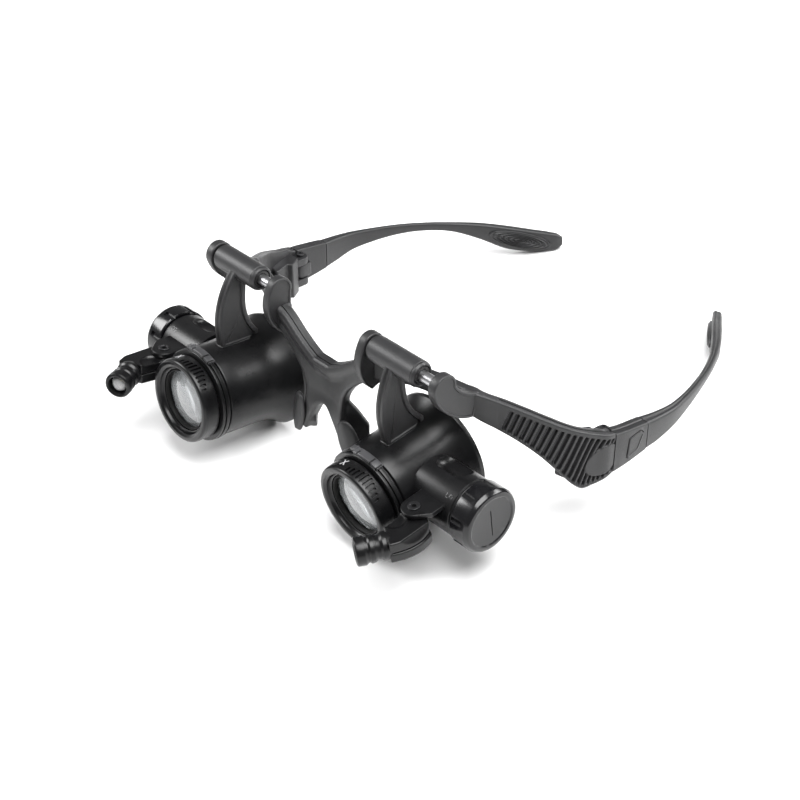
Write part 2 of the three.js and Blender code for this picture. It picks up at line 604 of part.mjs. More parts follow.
for (const { name, sign, centre, tilt } of SIDES) {
  place(group, `nose_pad_${name}`, nosePad(), PAD_BLACK, sign);
  place(group, `pivot_pin_${name}`, pivotPin(), STEEL, sign);
  place(group, `hinge_screw_${name}`, hingeScrew(), STEEL, sign);
  place(group, `hinge_block_${name}`, hingeBlock(), FRAME_BLACK, sign);
  place(group, `release_latch_${name}`, releaseLatch(), FRAME_BLACK, sign);
  place(group, `temple_arm_${name}`, templeArm(), FRAME_BLACK, sign);
  place(group, `tip_pad_${name}`, tipPad(), PAD_BLACK, sign);

  const loupe = new THREE.Group();
  loupe.position.set(sign * centre, PIN.y, PIN.z);
  loupe.rotation.x = tilt;
  group.add(loupe);
  const pieces = [
    ['pivot_bush', pivotBush(), PAD_BLACK],
    ['loupe_bracket', bracket(), FRAME_BLACK],
    ['barrel', barrel(), LOUPE_BLACK],
    ['lens_collar', lensCollar(), LOUPE_BLACK],
    ['lens_holder', lensHolder(), LOUPE_BLACK],
    ['lens', lens(), GLASS],
    ['lens_retainer', lensRetainer(), LOUPE_BLACK],
    ['battery_tube', cellTube(), LOUPE_BLACK],
    ['battery_cap', batteryCap(), CAP_BLACK],
    ['battery_spring', batterySpring(), STEEL],
    ['battery_contact', contactPlate(), STEEL],
    ['lamp_ear', lampEar(), LOUPE_BLACK],
    ['lamp_rivet', lampRivet(), STEEL],
    ['lamp_upper_shell', lampShell(LAMP.seam + GAP / 2, LAMP.top), LOUPE_BLACK],
    ['lamp_lower_shell', lampShell(LAMP.bottom, LAMP.seam - GAP / 2), LOUPE_BLACK],
    ['lamp_nose', lampNose(), LOUPE_BLACK],
    ['led_bulb', ledBulb(), LED_CLEAR],
  ];
  for (let i = 0; i < CELL.count; i += 1) pieces.push([`button_cell_${i + 1}`, cell(i), CELL_STEEL]);
  const sameBothSides = ['lens_collar', 'lens_holder', 'lens', 'lens_retainer'];
  for (const [piece, geometry, look] of pieces) {
    place(loupe, `${piece}_${name}`, geometry, look, sameBothSides.includes(piece) ? 1 : sign);
  }
}

export default group;
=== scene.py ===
import json
import math

import bmesh
import bpy
import numpy as np
from mathutils import Matrix, Vector


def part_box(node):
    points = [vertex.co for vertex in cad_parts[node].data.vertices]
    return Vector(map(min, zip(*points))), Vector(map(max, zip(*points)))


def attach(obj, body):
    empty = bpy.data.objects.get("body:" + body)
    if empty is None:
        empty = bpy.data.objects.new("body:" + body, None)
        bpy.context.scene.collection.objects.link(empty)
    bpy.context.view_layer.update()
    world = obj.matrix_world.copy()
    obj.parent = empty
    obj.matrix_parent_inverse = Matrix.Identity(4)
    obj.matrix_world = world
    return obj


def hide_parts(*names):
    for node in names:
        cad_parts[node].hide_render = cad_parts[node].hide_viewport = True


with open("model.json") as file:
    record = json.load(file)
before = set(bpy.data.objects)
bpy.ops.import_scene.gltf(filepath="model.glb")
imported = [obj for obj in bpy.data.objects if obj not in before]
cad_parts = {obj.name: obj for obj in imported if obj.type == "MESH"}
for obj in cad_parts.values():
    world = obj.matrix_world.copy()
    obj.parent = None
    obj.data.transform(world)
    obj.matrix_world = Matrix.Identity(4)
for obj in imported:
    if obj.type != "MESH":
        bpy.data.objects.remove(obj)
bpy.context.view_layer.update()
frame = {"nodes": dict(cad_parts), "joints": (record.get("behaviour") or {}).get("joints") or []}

MM = 0.001
TAU = 2 * math.pi
JOINTS = {joint["name"]: joint for joint in frame["joints"]}
SIDES = {"left": 1, "right": -1}

# ---------- camera ----------
AZIMUTH = math.radians(48.1)
ELEVATION = math.radians(34.0)
DISTANCE = 0.44
AIM = Vector((0.02367, 0.00687, -0.00504))
FOCAL_LENGTH = 71.4

# ---------- sizes in millimetres, as in the CAD part ----------
TUBE = {"radius": 3.8, "bore": 2.6, "half": 9.55}
BARREL = {"z": -37.5, "radius": 14.0, "front": -13.8, "rear": 11.7, "flange": 17.5, "bore": 11.2}
WALL_TURN = math.pi / 4                       # the nasal walls run back and outwards
COLLAR = {"front": -17.0, "rear": -14.1, "radius": 14.3, "bore": 11.1}
HOLDER = {"front": -22.9, "shoulder": -17.3, "rear": -9.5, "radius": 13.0, "spigot": 10.8, "seat": 9.7}
LENS = {"radius": 9.4, "y": -18.5, "edge": 1.4, "bulge": 1.9}
CELL_TUBE = {"y": -2.0, "z": -35.8, "radius": 9.0, "start": 11.0, "end": 27.1, "mouth": 7.8}
CAP = {"radius": 9.6, "start": 27.4, "end": 34.2}
LAMP = {"x": 18.5, "y": -15.3, "top": -32.2, "seam": -35.7, "bottom": -38.9, "knuckle": 3.4}
NOSE = {"start": (20.4, -25.6), "end": (15.2, -34.4), "radius": 4.1}
NOSE_PAD = {"turn": 0.32, "lean": -0.3, "length": 7.7, "width": 3.8, "thick": 1.0, "inward": 0.7}
TIP_PAD = {"turn": -0.925, "droop": -0.25, "long": 11.2, "short": 2.9}
LUGS = {"inner": (18.6, 21.4), "outer": (46.8, 49.6)}
EARS = {"low": (-20.0, -17.5), "high": (-12.5, -10.0)}
KNUCKLE = (-17.2, -12.8)
HINGE_STEP = (-21.2, -8.7)                    # the web that carries both ears
TONGUE = (68.95, 70.85)                        # stations in X of the arm's tongue
TONGUE_SLOT = (68.65, 71.15)
LATCH_FACES = (71.4, 72.38)
WINDOW_FLOOR = 70.7                            # deeper than the pressed latch
OUTSIDE = 74                                   # past every outer face of the temple


# ---------- mesh building ----------
def shift(vector):
    return Matrix.Translation(vector)


def spin(angle, axis):
    return Matrix.Rotation(angle, 4, axis)


def rounded(a0, a1, b0, b1, radius):
    """A rectangle with rounded corners."""
    return fillet([(a0, b0, radius), (a1, b0, radius), (a1, b1, radius), (a0, b1, radius)], closed=True)


def new_object(name, vertices, faces):
    mesh = bpy.data.meshes.new(name)
    mesh.from_pydata([tuple(map(float, v)) for v in vertices], [], faces)
    obj = bpy.data.objects.new(name, mesh)
    bpy.context.scene.collection.objects.link(obj)
    return obj


def fillet(corners, closed=False, segments=4):
    """Corners (a, b) or (a, b, radius) in a plane; a corner with a radius becomes an arc."""
    points = []
    for i, corner in enumerate(corners):
        here = np.array(corner[:2], float)
        radius = corner[2] if len(corner) > 2 else 0
        if radius <= 0 or (not closed and i in (0, len(corners) - 1)):
            points.append(tuple(here))
            continue
        u = np.array(corners[i - 1][:2], float) - here
        v = np.array(corners[(i + 1) % len(corners)][:2], float) - here
        reach_u, reach_v = np.linalg.norm(u), np.linalg.norm(v)
        u, v = u / reach_u, v / reach_v
        half = math.acos(np.clip(u @ v, -1, 1)) / 2
        if half > 1.55:
            points.append(tuple(here))
            continue
        reach = min(radius / math.tan(half), 0.48 * reach_u, 0.48 * reach_v)
        arc = reach * math.tan(half)
        centre = here + (u + v) / np.linalg.norm(u + v) * arc / math.sin(half)
        first, last = here + u * reach - centre, here + v * reach - centre
        start = math.atan2(first[1], first[0])
        sweep = (math.atan2(last[1], last[0]) - start + math.pi) % TAU - math.pi
        for k in range(segments + 1):
            angle = start + sweep * k / segments
            points.append((centre[0] + arc * math.cos(angle), centre[1] + arc * math.sin(angle)))
    return points


def curve(*runs, steps=10):
    """A polyline through quadratic curves; each run after the first point is (control, end) or (end,)."""
    points = [np.array(runs[0], float)]
    for run in runs[1:]:
        start = points[-1]
        if len(run) == 1:
            points.append(np.array(run[0], float))
            continue
        control, end = np.array(run[0], float), np.array(run[1], float)
        for k in range(1, steps + 1):
            t = k / steps
            points.append((1 - t) ** 2 * start + 2 * t * (1 - t) * control + t * t * end)
    return [tuple(p) for p in points]


def arc(cx, cy, radius, start, end, steps=16):
    return [(cx + radius * math.cos(start + (end - start) * k / steps),
             cy + radius * math.sin(start + (end - start) * k / steps)) for k in range(steps + 1)]


def lathe(name, profile, axis=(0, 1, 0), centre=(0, 0, 0), segments=96):
    """A body of revolution; profile is (radius, station) points, ending on the axis or closed."""
    closed = profile[0] == profile[-1]
    vertices, rows = [], []
    for radius, station in profile[:-1] if closed else profile:
        count = 1 if radius < 1e-6 else segments
        rows.append([len(vertices) + k for k in range(count)])
        for k in range(count):
            angle = TAU * k / count
            vertices.append((radius * math.cos(angle), radius * math.sin(angle), station))
    pairs = list(zip(rows, rows[1:])) + ([(rows[-1], rows[0])] if closed else [])
    faces = []
    for one, two in pairs:
        for k in range(segments):
            a, b = one[k % len(one)], one[(k + 1) % len(one)]
            c, d = two[(k + 1) % len(two)], two[k % len(two)]
            faces.append(list(dict.fromkeys((a, b, c, d))))
    turn = Vector((0, 0, 1)).rotation_difference(Vector(axis)).to_matrix()
    origin = Vector(centre)
    return new_object(name, [origin + turn @ Vector(v) for v in vertices], faces)


def inset(outline, distance):
    """The outline moved inwards, for a counter-clockwise outline."""
    points = np.array(outline, float)
    edge = np.roll(points, -1, 0) - points
    normal = np.stack([-edge[:, 1], edge[:, 0]], 1)
    normal /= np.maximum(np.linalg.norm(normal, axis=1, keepdims=True), 1e-9)
    mean = normal + np.roll(normal, 1, 0)
    mean /= np.maximum((mean ** 2).sum(1, keepdims=True) / 2, 0.5)
    return points + mean * distance


def plate(name, outline, low, high, edge=0.3, recess=None, place=None):
    """An outline raised between two heights with rounded edges; recess is (margin, depth) on both faces."""
    points = np.array(outline, float)
    area = sum(a[0] * b[1] - b[0] * a[1] for a, b in zip(points, np.roll(points, -1, 0)))
    if area < 0:
        points = points[::-1]
    rings = []
    for k in range(4):
        turn = math.pi / 2 * k / 3
        rings.append((low + edge * (1 - math.cos(turn)), edge * (1 - math.sin(turn))))
    if recess:
        margin, depth = recess
        rings = [(low + depth, margin + depth * 0.6), (low, margin)] + rings
    middle = low + high
    rings += [(middle - z, d) for z, d in reversed(rings)]
    vertices, count = [], len(points)
    for z, distance in rings:
        vertices += [(x, y, z) for x, y in inset(points, distance)]
    faces = [list(range(count))[::-1], [len(vertices) - count + k for k in range(count)]]
    for r in range(len(rings) - 1):
        for k in range(count):
            a, b = r * count + k, r * count + (k + 1) % count
            faces.append((a, b, b + count, a + count))
    obj = new_object(name, vertices, faces)
    if place:
        obj.data.transform(place)
    return obj


SIDE_PLATE = Matrix(((0, 0, 1, 0), (1, 0, 0, 0), (0, 1, 0, 0), (0, 0, 0, 1)))     # outline in Y, Z
FRONT_PLATE = Matrix(((1, 0, 0, 0), (0, 0, -1, 0), (0, 1, 0, 0), (0, 0, 0, 1)))   # outline in X, Z


def spline(stations, step):
    """Rows of numbers along a smooth line, resampled about every step of the first two columns."""
    rows = np.array(stations, float)
    length = np.concatenate([[0], np.cumsum(np.linalg.norm(np.diff(rows[:, :2], axis=0), axis=1))])
    slope = np.gradient(rows, length, axis=0)
    samples = np.linspace(0, length[-1], max(2, int(length[-1] / step)))
    found = []
    for s in samples:
        i = min(np.searchsorted(length, s, side="right") - 1, len(rows) - 2)
        h = length[i + 1] - length[i]
        t = (s - length[i]) / h
        found.append((2 * t ** 3 - 3 * t ** 2 + 1) * rows[i] + (t ** 3 - 2 * t ** 2 + t) * h * slope[i]
                     + (3 * t ** 2 - 2 * t ** 3) * rows[i + 1] + (t ** 3 - t ** 2) * h * slope[i + 1])
    return samples, np.array(found)


def bar(name, stations, section, step=1.0):
    """A bar whose outer face follows the stations; section gives (depth, height) points at each."""
    samples, rows = spline(stations, step)
    along = np.gradient(rows[:, :2], axis=0)
    along /= np.linalg.norm(along, axis=1, keepdims=True)
    vertices = []
    for s, row, (tx, ty) in zip(samples, rows, along):
        ring = section(s, *row)
        vertices += [(row[0] - ty * d, row[1] + tx * d, z) for d, z in ring]
    count = len(ring)
    faces = [list(range(count)), [len(vertices) - 1 - k for k in range(count)]]
    for r in range(len(rows) - 1):
        for k in range(count):
            a, b = r * count + k, r * count + (k + 1) % count
            faces.append((a, a + count, b + count, b))
    return new_object(name, vertices, faces)


def joined(name, parts):
    vertices, faces = [], []
    for part in parts:
        base = len(vertices)
        vertices += [tuple(v.co) for v in part.data.vertices]
        faces += [[base + i for i in f.vertices] for f in part.data.polygons]
        discard(part)
    return new_object(name, vertices, faces)


def discard(obj):
    mesh = obj.data
    bpy.data.objects.remove(obj)
    bpy.data.meshes.remove(mesh)


def apply_modifiers(obj):
    bpy.context.view_layer.update()
    evaluated = obj.evaluated_get(bpy.context.evaluated_depsgraph_get())
    mesh = bpy.data.meshes.new_from_object(evaluated)
    old, obj.data = obj.data, mesh
    obj.modifiers.clear()
    bpy.data.meshes.remove(old)
    return obj


def outward(obj):
    work = bmesh.new()
    work.from_mesh(obj.data)
    bmesh.ops.recalc_face_normals(work, faces=work.faces)
    work.to_mesh(obj.data)
    work.free()
    return obj


def cut(obj, *cutters, operation="DIFFERENCE"):
    outward(obj)
    for cutter in cutters:
        outward(cutter)
        modifier = obj.modifiers.new("cut", "BOOLEAN")
        modifier.operation = operation
        modifier.solver = "EXACT"
        modifier.object = cutter
    apply_modifiers(obj)
    for cutter in cutters:
        discard(cutter)
    return obj


def moulded(name, parts, voxel, smooth):
    """One smooth moulding from closed parts that overlap."""
    obj = outward(joined(name, parts))
    remesh = obj.modifiers.new("remesh", "REMESH")
    remesh.mode = "VOXEL"
    remesh.voxel_size = voxel
    soften = obj.modifiers.new("smooth", "SMOOTH")
    soften.factor = 0.5
    soften.iterations = smooth
    return apply_modifiers(obj)


def piece(obj, body, look, nodes=(), place=None, sharp=38):
    """Puts a finished shape in the row frame, on its body, with its finish."""
    obj.data.transform(place or Matrix.Scale(MM, 4))
    outward(obj)
    obj.data.shade_smooth()
    obj.data.set_sharp_from_angle(angle=math.radians(sharp))
    obj.data.materials.clear()
    obj.data.materials.append(look)
    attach(obj, body)
    if nodes:
        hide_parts(*nodes)
    return obj


# ---------- finishes ----------
def surface(name, dark, light, rough, grain, bump, mottle=4.0, edge=0.0, metal=0.0, **sockets):
    """Moulded or machined surface: fine grain, slow mottling in colour and gloss, paler convex edges that
    are partly wear and partly a painted highlight.
    """
    material = bpy.data.materials.new(name)
    material.use_nodes = True
    nodes, links = material.node_tree.nodes, material.node_tree.links
    shader = nodes["Principled BSDF"]
    shader.inputs["Metallic"].default_value = metal
    for socket, value in sockets.items():
        shader.inputs[socket.replace("_", " ")].default_value = value
    place = nodes.new("ShaderNodeTexCoord")
    scale = nodes.new("ShaderNodeMapping")
    scale.inputs["Scale"].default_value = (1 / MM, 1 / MM, 1 / MM)
    links.new(place.outputs["Object"], scale.inputs["Vector"])

    def noise(size, detail, roughness=0.5):
        texture = nodes.new("ShaderNodeTexNoise")
        texture.inputs["Scale"].default_value = 1 / size
        texture.inputs["Detail"].default_value = detail
        texture.inputs["Roughness"].default_value = roughness
        links.new(scale.outputs["Vector"], texture.inputs["Vector"])
        return texture.outputs["Fac"]

    slow, fine = noise(mottle, 3), noise(grain, 4, 0.65)
    colour = nodes.new("ShaderNodeMixRGB")
    colour.inputs["Color1"].default_value = (*dark, 1)
    colour.inputs["Color2"].default_value = (*light, 1)
    links.new(slow, colour.inputs["Fac"])
    result = colour.outputs["Color"]
    # Paler colour on convex edges, masked by pointiness: partly edge wear, partly a painted highlight.
    if edge:
        wear_and_highlight_edges = nodes.new("ShaderNodeMapRange")
        wear_and_highlight_edges.inputs["From Min"].default_value = 0.52
        wear_and_highlight_edges.inputs["From Max"].default_value = 0.62
        wear_and_highlight_edges.inputs["To Max"].default_value = edge
        geometry = nodes.new("ShaderNodeNewGeometry")
        links.new(geometry.outputs["Pointiness"], wear_and_highlight_edges.inputs["Value"])
        pale = nodes.new("ShaderNodeMixRGB")
        pale.inputs["Color2"].default_value = (*[min(1, 3 * c + 0.02) for c in light], 1)
        links.new(wear_and_highlight_edges.outputs["Result"], pale.inputs["Fac"])
        links.new(result, pale.inputs["Color1"])
        result = pale.outputs["Color"]
    links.new(result, shader.inputs["Base Color"])
    gloss = nodes.new("ShaderNodeMapRange")
    gloss.inputs["To Min"].default_value = rough[0]
    gloss.inputs["To Max"].default_value = rough[1]
    blend = nodes.new("ShaderNodeMath")
    blend.operation = "ADD"
    half_slow, half_fine = nodes.new("ShaderNodeMath"), nodes.new("ShaderNodeMath")
    for half, source in ((half_slow, slow), (half_fine, fine)):
        half.operation = "MULTIPLY"
        half.inputs[1].default_value = 0.5
        links.new(source, half.inputs[0])
    links.new(half_slow.outputs[0], blend.inputs[0])
    links.new(half_fine.outputs[0], blend.inputs[1])
    links.new(blend.outputs[0], gloss.inputs["Value"])
    links.new(gloss.outputs["Result"], shader.inputs["Roughness"])
    relief = nodes.new("ShaderNodeBump")
    relief.inputs["Strength"].default_value = bump
    relief.inputs["Distance"].default_value = 0.05 * MM
    links.new(fine, relief.inputs["Height"])
    links.new(relief.outputs["Normal"], shader.inputs["Normal"])
    return material


# edge= sets how much paler the convex edges are: partly wear, partly a painted highlight.
FRAME_BLACK = surface("frame_black", (0.008, 0.008, 0.0085), (0.016, 0.016, 0.017), (0.34, 0.5), 0.16, 0.8,
                      edge=0.4, Specular_IOR_Level=0.45)
LOUPE_BLACK = surface("loupe_black", (0.002, 0.002, 0.0022), (0.005, 0.005, 0.0055), (0.22, 0.36), 0.14,
                      0.3, edge=0.2, Specular_IOR_Level=0.3)
CAP_BLACK = surface("cap_black", (0.003, 0.003, 0.0035), (0.006, 0.006, 0.007), (0.14, 0.24), 0.3, 0.12,
                    edge=0.3, Specular_IOR_Level=0.4)
PAD_BLACK = surface("pad_black", (0.008, 0.008, 0.0085), (0.014, 0.014, 0.015), (0.42, 0.58), 0.2, 0.6,
                    edge=0.3)
BUSH_BLACK = surface("bush_black", (0.006, 0.006, 0.006), (0.01, 0.01, 0.01), (0.35, 0.5), 0.2, 0.3)
BORE_BLACK = surface("bore_black", (0.002, 0.002, 0.002), (0.004, 0.004, 0.004), (0.55, 0.75), 0.2, 0.4,
                     Specular_IOR_Level=0.25)
TAB_GREY = surface("tab_grey", (0.03, 0.03, 0.032), (0.055, 0.055, 0.058), (0.25, 0.4), 0.14, 0.3, edge=0.3)
PALE_PAINT = surface("pale_paint", (0.42, 0.42, 0.43), (0.55, 0.55, 0.56), (0.45, 0.6), 0.12, 0.3)
STEEL = surface("steel", (0.34, 0.34, 0.35), (0.46, 0.46, 0.47), (0.26, 0.4), 0.1, 0.2, metal=1.0)
DARK_STEEL = surface("dark_steel", (0.012, 0.012, 0.013), (0.03, 0.03, 0.032), (0.25, 0.4), 0.12, 0.2,
                     metal=0.5)
GLASS = surface("lens_glass", (0.60, 0.62, 0.63), (0.66, 0.68, 0.69), (0.0, 0.012), 2.0, 0.0,
                Transmission_Weight=0.72, IOR=1.6)
LED_CLEAR = surface("led_clear", (0.95, 0.96, 0.97), (1.0, 1.0, 1.0), (0.0, 0.03), 1.0, 0.0,
                    Transmission_Weight=0.75, IOR=1.5)
PHOSPHOR = surface("led_phosphor", (0.75, 0.68, 0.3), (0.9, 0.82, 0.4), (0.4, 0.6), 0.1, 0.3)


# ---------- frame front ----------
def middle(node):
    low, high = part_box(node)
    return (low + high) / 2 / MM


def side_matrix(sign):
    """Millimetres on the wearer's left to metres on either side."""
    return Matrix.Diagonal((sign * MM, MM, MM, 1))


def both_ways(half):
    """A left outline in X and Z, closed over the middle."""
    return half + [(-x, z) for x, z in reversed(half) if abs(x) > 1e-6]


TOP_EDGE = curve((0, 0), ((3, 0),), ((8, 2.2), (13, 6.2)), ((17, 9.4), (21, 10.2)), steps=8)
INNER_EDGE = curve((21, 3.2), ((12.6, -1.5), (9.2, -8)), ((7.6, -12.0), (8.4, -16.5)),
                   ((9.2, -21.5), (10.6, -26.4)), ((8.6, -27.6),), ((6.0, -22), (3.2, -17.4)),
                   ((1.8, -15.2), (0, -15.0)), steps=8)

PIN_Y, PIN_Z = middle("pivot_pin_left").y, middle("pivot_pin_left").z

BROW = [(19.5, -0.8, 9.6, 2.6, 3.8), (25, 1.6, 10.0, 3.8, 3.6), (31, 4.0, 10.0, 4.2, 3.5),
        (38, 6.2, 9.8, 3.8, 3.5), (45, 8.2, 9.2, 2.6, 3.5), (49.7, 10.4, 8.2, 0.4, 3.4),
        (54, 15.2, 5.5, -3.6, 3.2)]
SIDE = [(47.5, 9.2, 8.7, 1.6, 3.5), *BROW[-2:], (58, 19.3, 3.0, -7.4, 3.2),
        (62.5, 23.9, 0.1, -12.6, 3.2), (65.6, 27.4, -2.0, -17.4, 3.2), (67.8, 30.8, -3.8, -21.8, 3.3),
        (69.0, 33.4, -5.0, -23.8, 3.4), (70.2, 36.6, -6.4, -23.4, 3.7), (71.6, 40.8, -7.8, -22.2, 4.0),
        (71.6, 42.9, -8.3, -21.6, 4.0)]
OVAL = {"y": 39.4, "z": -15.9, "long": 5.6, "short": 4.4, "tilt": 0.5}
GROOVES = {"first": 11.2, "pitch": 1.62, "count": 22, "depth": 1.1, "lean": 0.3}


def smooth_step(x):
    x = min(max(x, 0.0), 1.0)
    return x * x * (3 - 2 * x)


def grip_depth(s, y, z, top, bottom):
    """How deep the grip grooves are at a point of the side piece's outer face."""
    turn = OVAL["tilt"]
    u = (y - OVAL["y"]) * math.cos(turn) + (z - OVAL["z"]) * math.sin(turn)
    v = -(y - OVAL["y"]) * math.sin(turn) + (z - OVAL["z"]) * math.cos(turn)
    around = math.hypot(u / OVAL["long"], v / OVAL["short"])
    height = top - bottom
    lean = GROOVES["lean"] * (1 + 1.2 * smooth_step((s - 30) / 16))
    across = (s - GROOVES["first"] - lean * (z - bottom - height / 2)) / GROOVES["pitch"]
    if across < -0.5 or across > GROOVES["count"] - 0.5:
        return 0.0
    wave = abs(across - round(across))
    groove = smooth_step((0.33 - wave) / 0.14)
    margin = smooth_step((top - 1.4 - z) / 0.4) * smooth_step((z - bottom - 0.9) / 0.5)
    outside = smooth_step((around - 1.0) / 0.07)
    rim = 0.18 * smooth_step(1 - abs(around - 1.04) / 0.06)
    return GROOVES["depth"] * groove * margin * outside + rim


def side_section(s, x, y, top, bottom, thick):
    edge, rows = 0.5, 64
    heights = np.linspace(bottom + edge, top - edge, rows)
    ring = [(0.15, bottom + 0.15)] + [(grip_depth(s, y, z, top, bottom), z) for z in heights]
    ring += [(0.15, top - 0.15), (edge, top)]
    ring += [(0.38 * thick, top), (0.42 * thick, top - 0.3), (0.56 * thick, top - 0.3),
             (0.60 * thick, top + 0.0)]
    ring += [(thick - edge, top), (thick - 0.15, top - 0.15), (thick, top - edge)]
    ring += [(thick, bottom + edge), (thick - 0.15, bottom + 0.15), (thick - edge, bottom), (edge, bottom)]
    return ring


def plain_section(edge=0.6, crease=0.0):
    """A bar's section with rounded corners; a crease lowers the outer half of its top."""
    def section(s, x, y, top, bottom, thick):
        corner = min(edge, 0.45 * thick, 0.3 * (top - bottom))
        ring = []
        for cd, cz, start in ((corner, bottom + corner, 1.5), (corner, top - corner - crease, 1.0),
                              (thick - corner, top - corner, 0.5), (thick - corner, bottom + corner, 0.0)):
            for k in range(5):
                turn = math.pi * (start - k / 8)
                ring.append((cd + corner * math.cos(turn), cz + corner * math.sin(turn)))
            if start == 1.0 and crease:
                ring += [(0.5 * thick, top - crease), (0.56 * thick, top - 0.1 * crease)]
        return ring
    return section


def bridge():
    """The saddle of the bridge with its legs, nasal walls and the brow bars, in one moulding."""
    front = plate("front", both_ways(TOP_EDGE + INNER_EDGE), -2.0, 2.0, edge=1.0, place=FRONT_PLATE)
    parts = [front]
    wall = [(0, -9), (1.8, -9), (5.7, -14), (8.6, -18.6), (8.6, -23.2), (3.6, -27.2), (1.8, -27.2),
            (0, -24)]
    for sign in (1, -1):
        turn = shift((sign * 6.1, -0.6, 0)) @ spin(sign * WALL_TURN, "Z")
        outline = [(sign * x, z) for x, z in wall]
        parts.append(plate("wall", outline, -1.0, 1.0, edge=0.4, place=turn @ FRONT_PLATE))
        brow = bar("brow", BROW, plain_section(0.9), 1.0)
        brow.data.transform(Matrix.Diagonal((sign, 1, 1, 1)))
        parts.append(brow)
    body = moulded("frame_bridge", parts, 0.3, 6)
    tops = np.array(TOP_EDGE)
    for vertex in body.data.vertices:
        x, y, z = vertex.co
        below = np.interp(abs(x), tops[:, 0], tops[:, 1]) - z
        ahead = smooth_step((0.8 - y) / 2.4) * smooth_step((21 - abs(x)) / 3)
        lip = smooth_step(below / 0.8) * smooth_step((4.2 - below) / 2.4)
        saddle = smooth_step(1 - abs(x) / 13) * smooth_step((below - 2) / 4) * smooth_step((z + 17) / 6)
        vertex.co.y += ahead * (1.2 * saddle - 0.45 * lip)
    line = [(x, z - 0.5) for x, z in TOP_EDGE] + [(21, 12.0), (0, 12.0)]
    groove = plate("groove", both_ways(line), 0.35, 0.85, edge=0.02, place=FRONT_PLATE)
    return cut(body, groove)


INNER_LUG = arc(0, 0, 3.9, -0.3, 2.4, 20) + curve(
    (-2.876, 2.634), ((-5.4, -1.5), (-5.0, -5.4)), ((-4.3, -10.4), (-0.6, -13.6)), ((3.2, -12.2),),
    ((3.4, -5.2),))[1:]
OUTER_LUG = arc(0, 0, 4.0, 0.3, 3.5, 20) + curve(
    (-3.746, -1.403), ((-2.6, -5.6), (1.8, -9.2)), ((6.2, -12.8), (10.6, -13.4)), ((12.4, -6.4),),
    ((6.2, -4.6), (3.9, -0.6)))[1:]

piece(bridge(), "frame", FRAME_BLACK, ["front_frame"], sharp=60)

for side, sign in SIDES.items():
    mirror = side_matrix(sign)
    for name, outline in (("inner", INNER_LUG), ("outer", OUTER_LUG)):
        lug = plate(f"frame_lug_{name}_{side}", outline, *LUGS[name], edge=0.35, recess=(0.7, 0.25),
                    place=shift((0, PIN_Y, PIN_Z)) @ SIDE_PLATE)
        piece(lug, "frame", FRAME_BLACK, place=mirror)
    arm = bar(f"frame_side_{side}", SIDE, side_section, 0.22)
    piece(arm, "frame", FRAME_BLACK, place=mirror, sharp=50)

    # hinge ears behind the side piece, and the screw through them
    ear_x, ear_y = middle(f"hinge_screw_{side}").x * sign, middle(f"hinge_screw_{side}").y
    for name, (low, high) in EARS.items():
        outline = fillet([(ear_x + 2.4, ear_y - 5, 0.4), (ear_x + 2.4, ear_y - 0.9, 0.4),
                          (ear_x + 2.4, ear_y + 2.4, 2.3), (ear_x - 2.4, ear_y + 2.4, 2.3),
                          (ear_x - 2.4, ear_y - 5, 1.2)], closed=True)
        ear = plate(f"frame_ear_{name}_{side}", outline, low, high, edge=0.25)
        piece(ear, "frame", FRAME_BLACK, place=mirror)
    step = fillet([(ear_x - 1.0, ear_y - 13, 0.4), (ear_x + 2.0, ear_y - 7.4, 0.4),
                   (ear_x + 3.0, ear_y - 3, 0.4), (ear_x - 2.6, ear_y - 3, 0.5),
                   (ear_x - 5.0, ear_y - 7.0, 0.6), (ear_x - 3.6, ear_y - 8.2, 0.5),
                   (ear_x - 5.6, ear_y - 14, 0.8)], True)
    web = plate(f"frame_hinge_step_{side}", step, *HINGE_STEP, edge=0.4)
    piece(web, "frame", FRAME_BLACK, place=mirror)
    profile = fillet([(0, -20.8), (0.8, -20.8, 0.2), (0.8, -9.7), (1.2, -9.7), (1.2, -9.0, 0.2),
                      (0.5, -9.0), (0.5, -9.3), (0, -9.3)])
    screw = lathe(f"hinge_screw_turned_{side}", profile, (0, 0, 1), (ear_x, ear_y, 0), 32)
    piece(screw, "frame", DARK_STEEL, [f"hinge_screw_{side}"], mirror)

    low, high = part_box(f"pivot_pin_{side}")
    start, end = min(abs(low.x), abs(high.x)) / MM, max(abs(low.x), abs(high.x)) / MM
    profile = fillet([(0, start), (1.6, start, 0.3), (1.6, end, 0.3), (0, end)])
    pin = lathe(f"pivot_pin_turned_{side}", profile, (1, 0, 0), (0, PIN_Y, PIN_Z), 48)
    piece(pin, "frame", STEEL, [f"pivot_pin_{side}"], mirror)


# ---------- nose pads ----------
def leaf(name, length, width, thick):
    """A leaf with a crease along its outer face; its plane is X, Z and its outer face looks to -Y."""
    rows, columns = 24, 12
    vertices, faces = [], []
    for r in range(1, rows):
        t = math.pi * r / rows
        half = width * math.sin(t) ** 0.8
        z = length * math.cos(t)
        for c in range(columns):
            turn = TAU * c / columns
            x = half * math.cos(turn)
            facing = math.copysign(1, math.sin(turn))
            depth = thick * (abs(math.sin(turn)) ** 0.7) * facing * math.sin(t) ** 0.5
            crease = -0.45 * thick * smooth_step(1 - abs(x) / (0.3 * width)) if math.sin(turn) < 0 else 0
            vertices.append((x, depth + crease, z))
    for r in range(rows - 2):
        for c in range(columns):
            a, b = r * columns + c, r * columns + (c + 1) % columns
            faces.append((a, b, b + columns, a + columns))
    top, bottom = len(vertices), len(vertices) + 1
    vertices += [(0, 0, length), (0, 0, -length)]
    last = (rows - 2) * columns
    for c in range(columns):
        faces.append((top, c, (c + 1) % columns))
        faces.append((bottom, last + (c + 1) % columns, last + c))
    return new_object(name, vertices, faces)


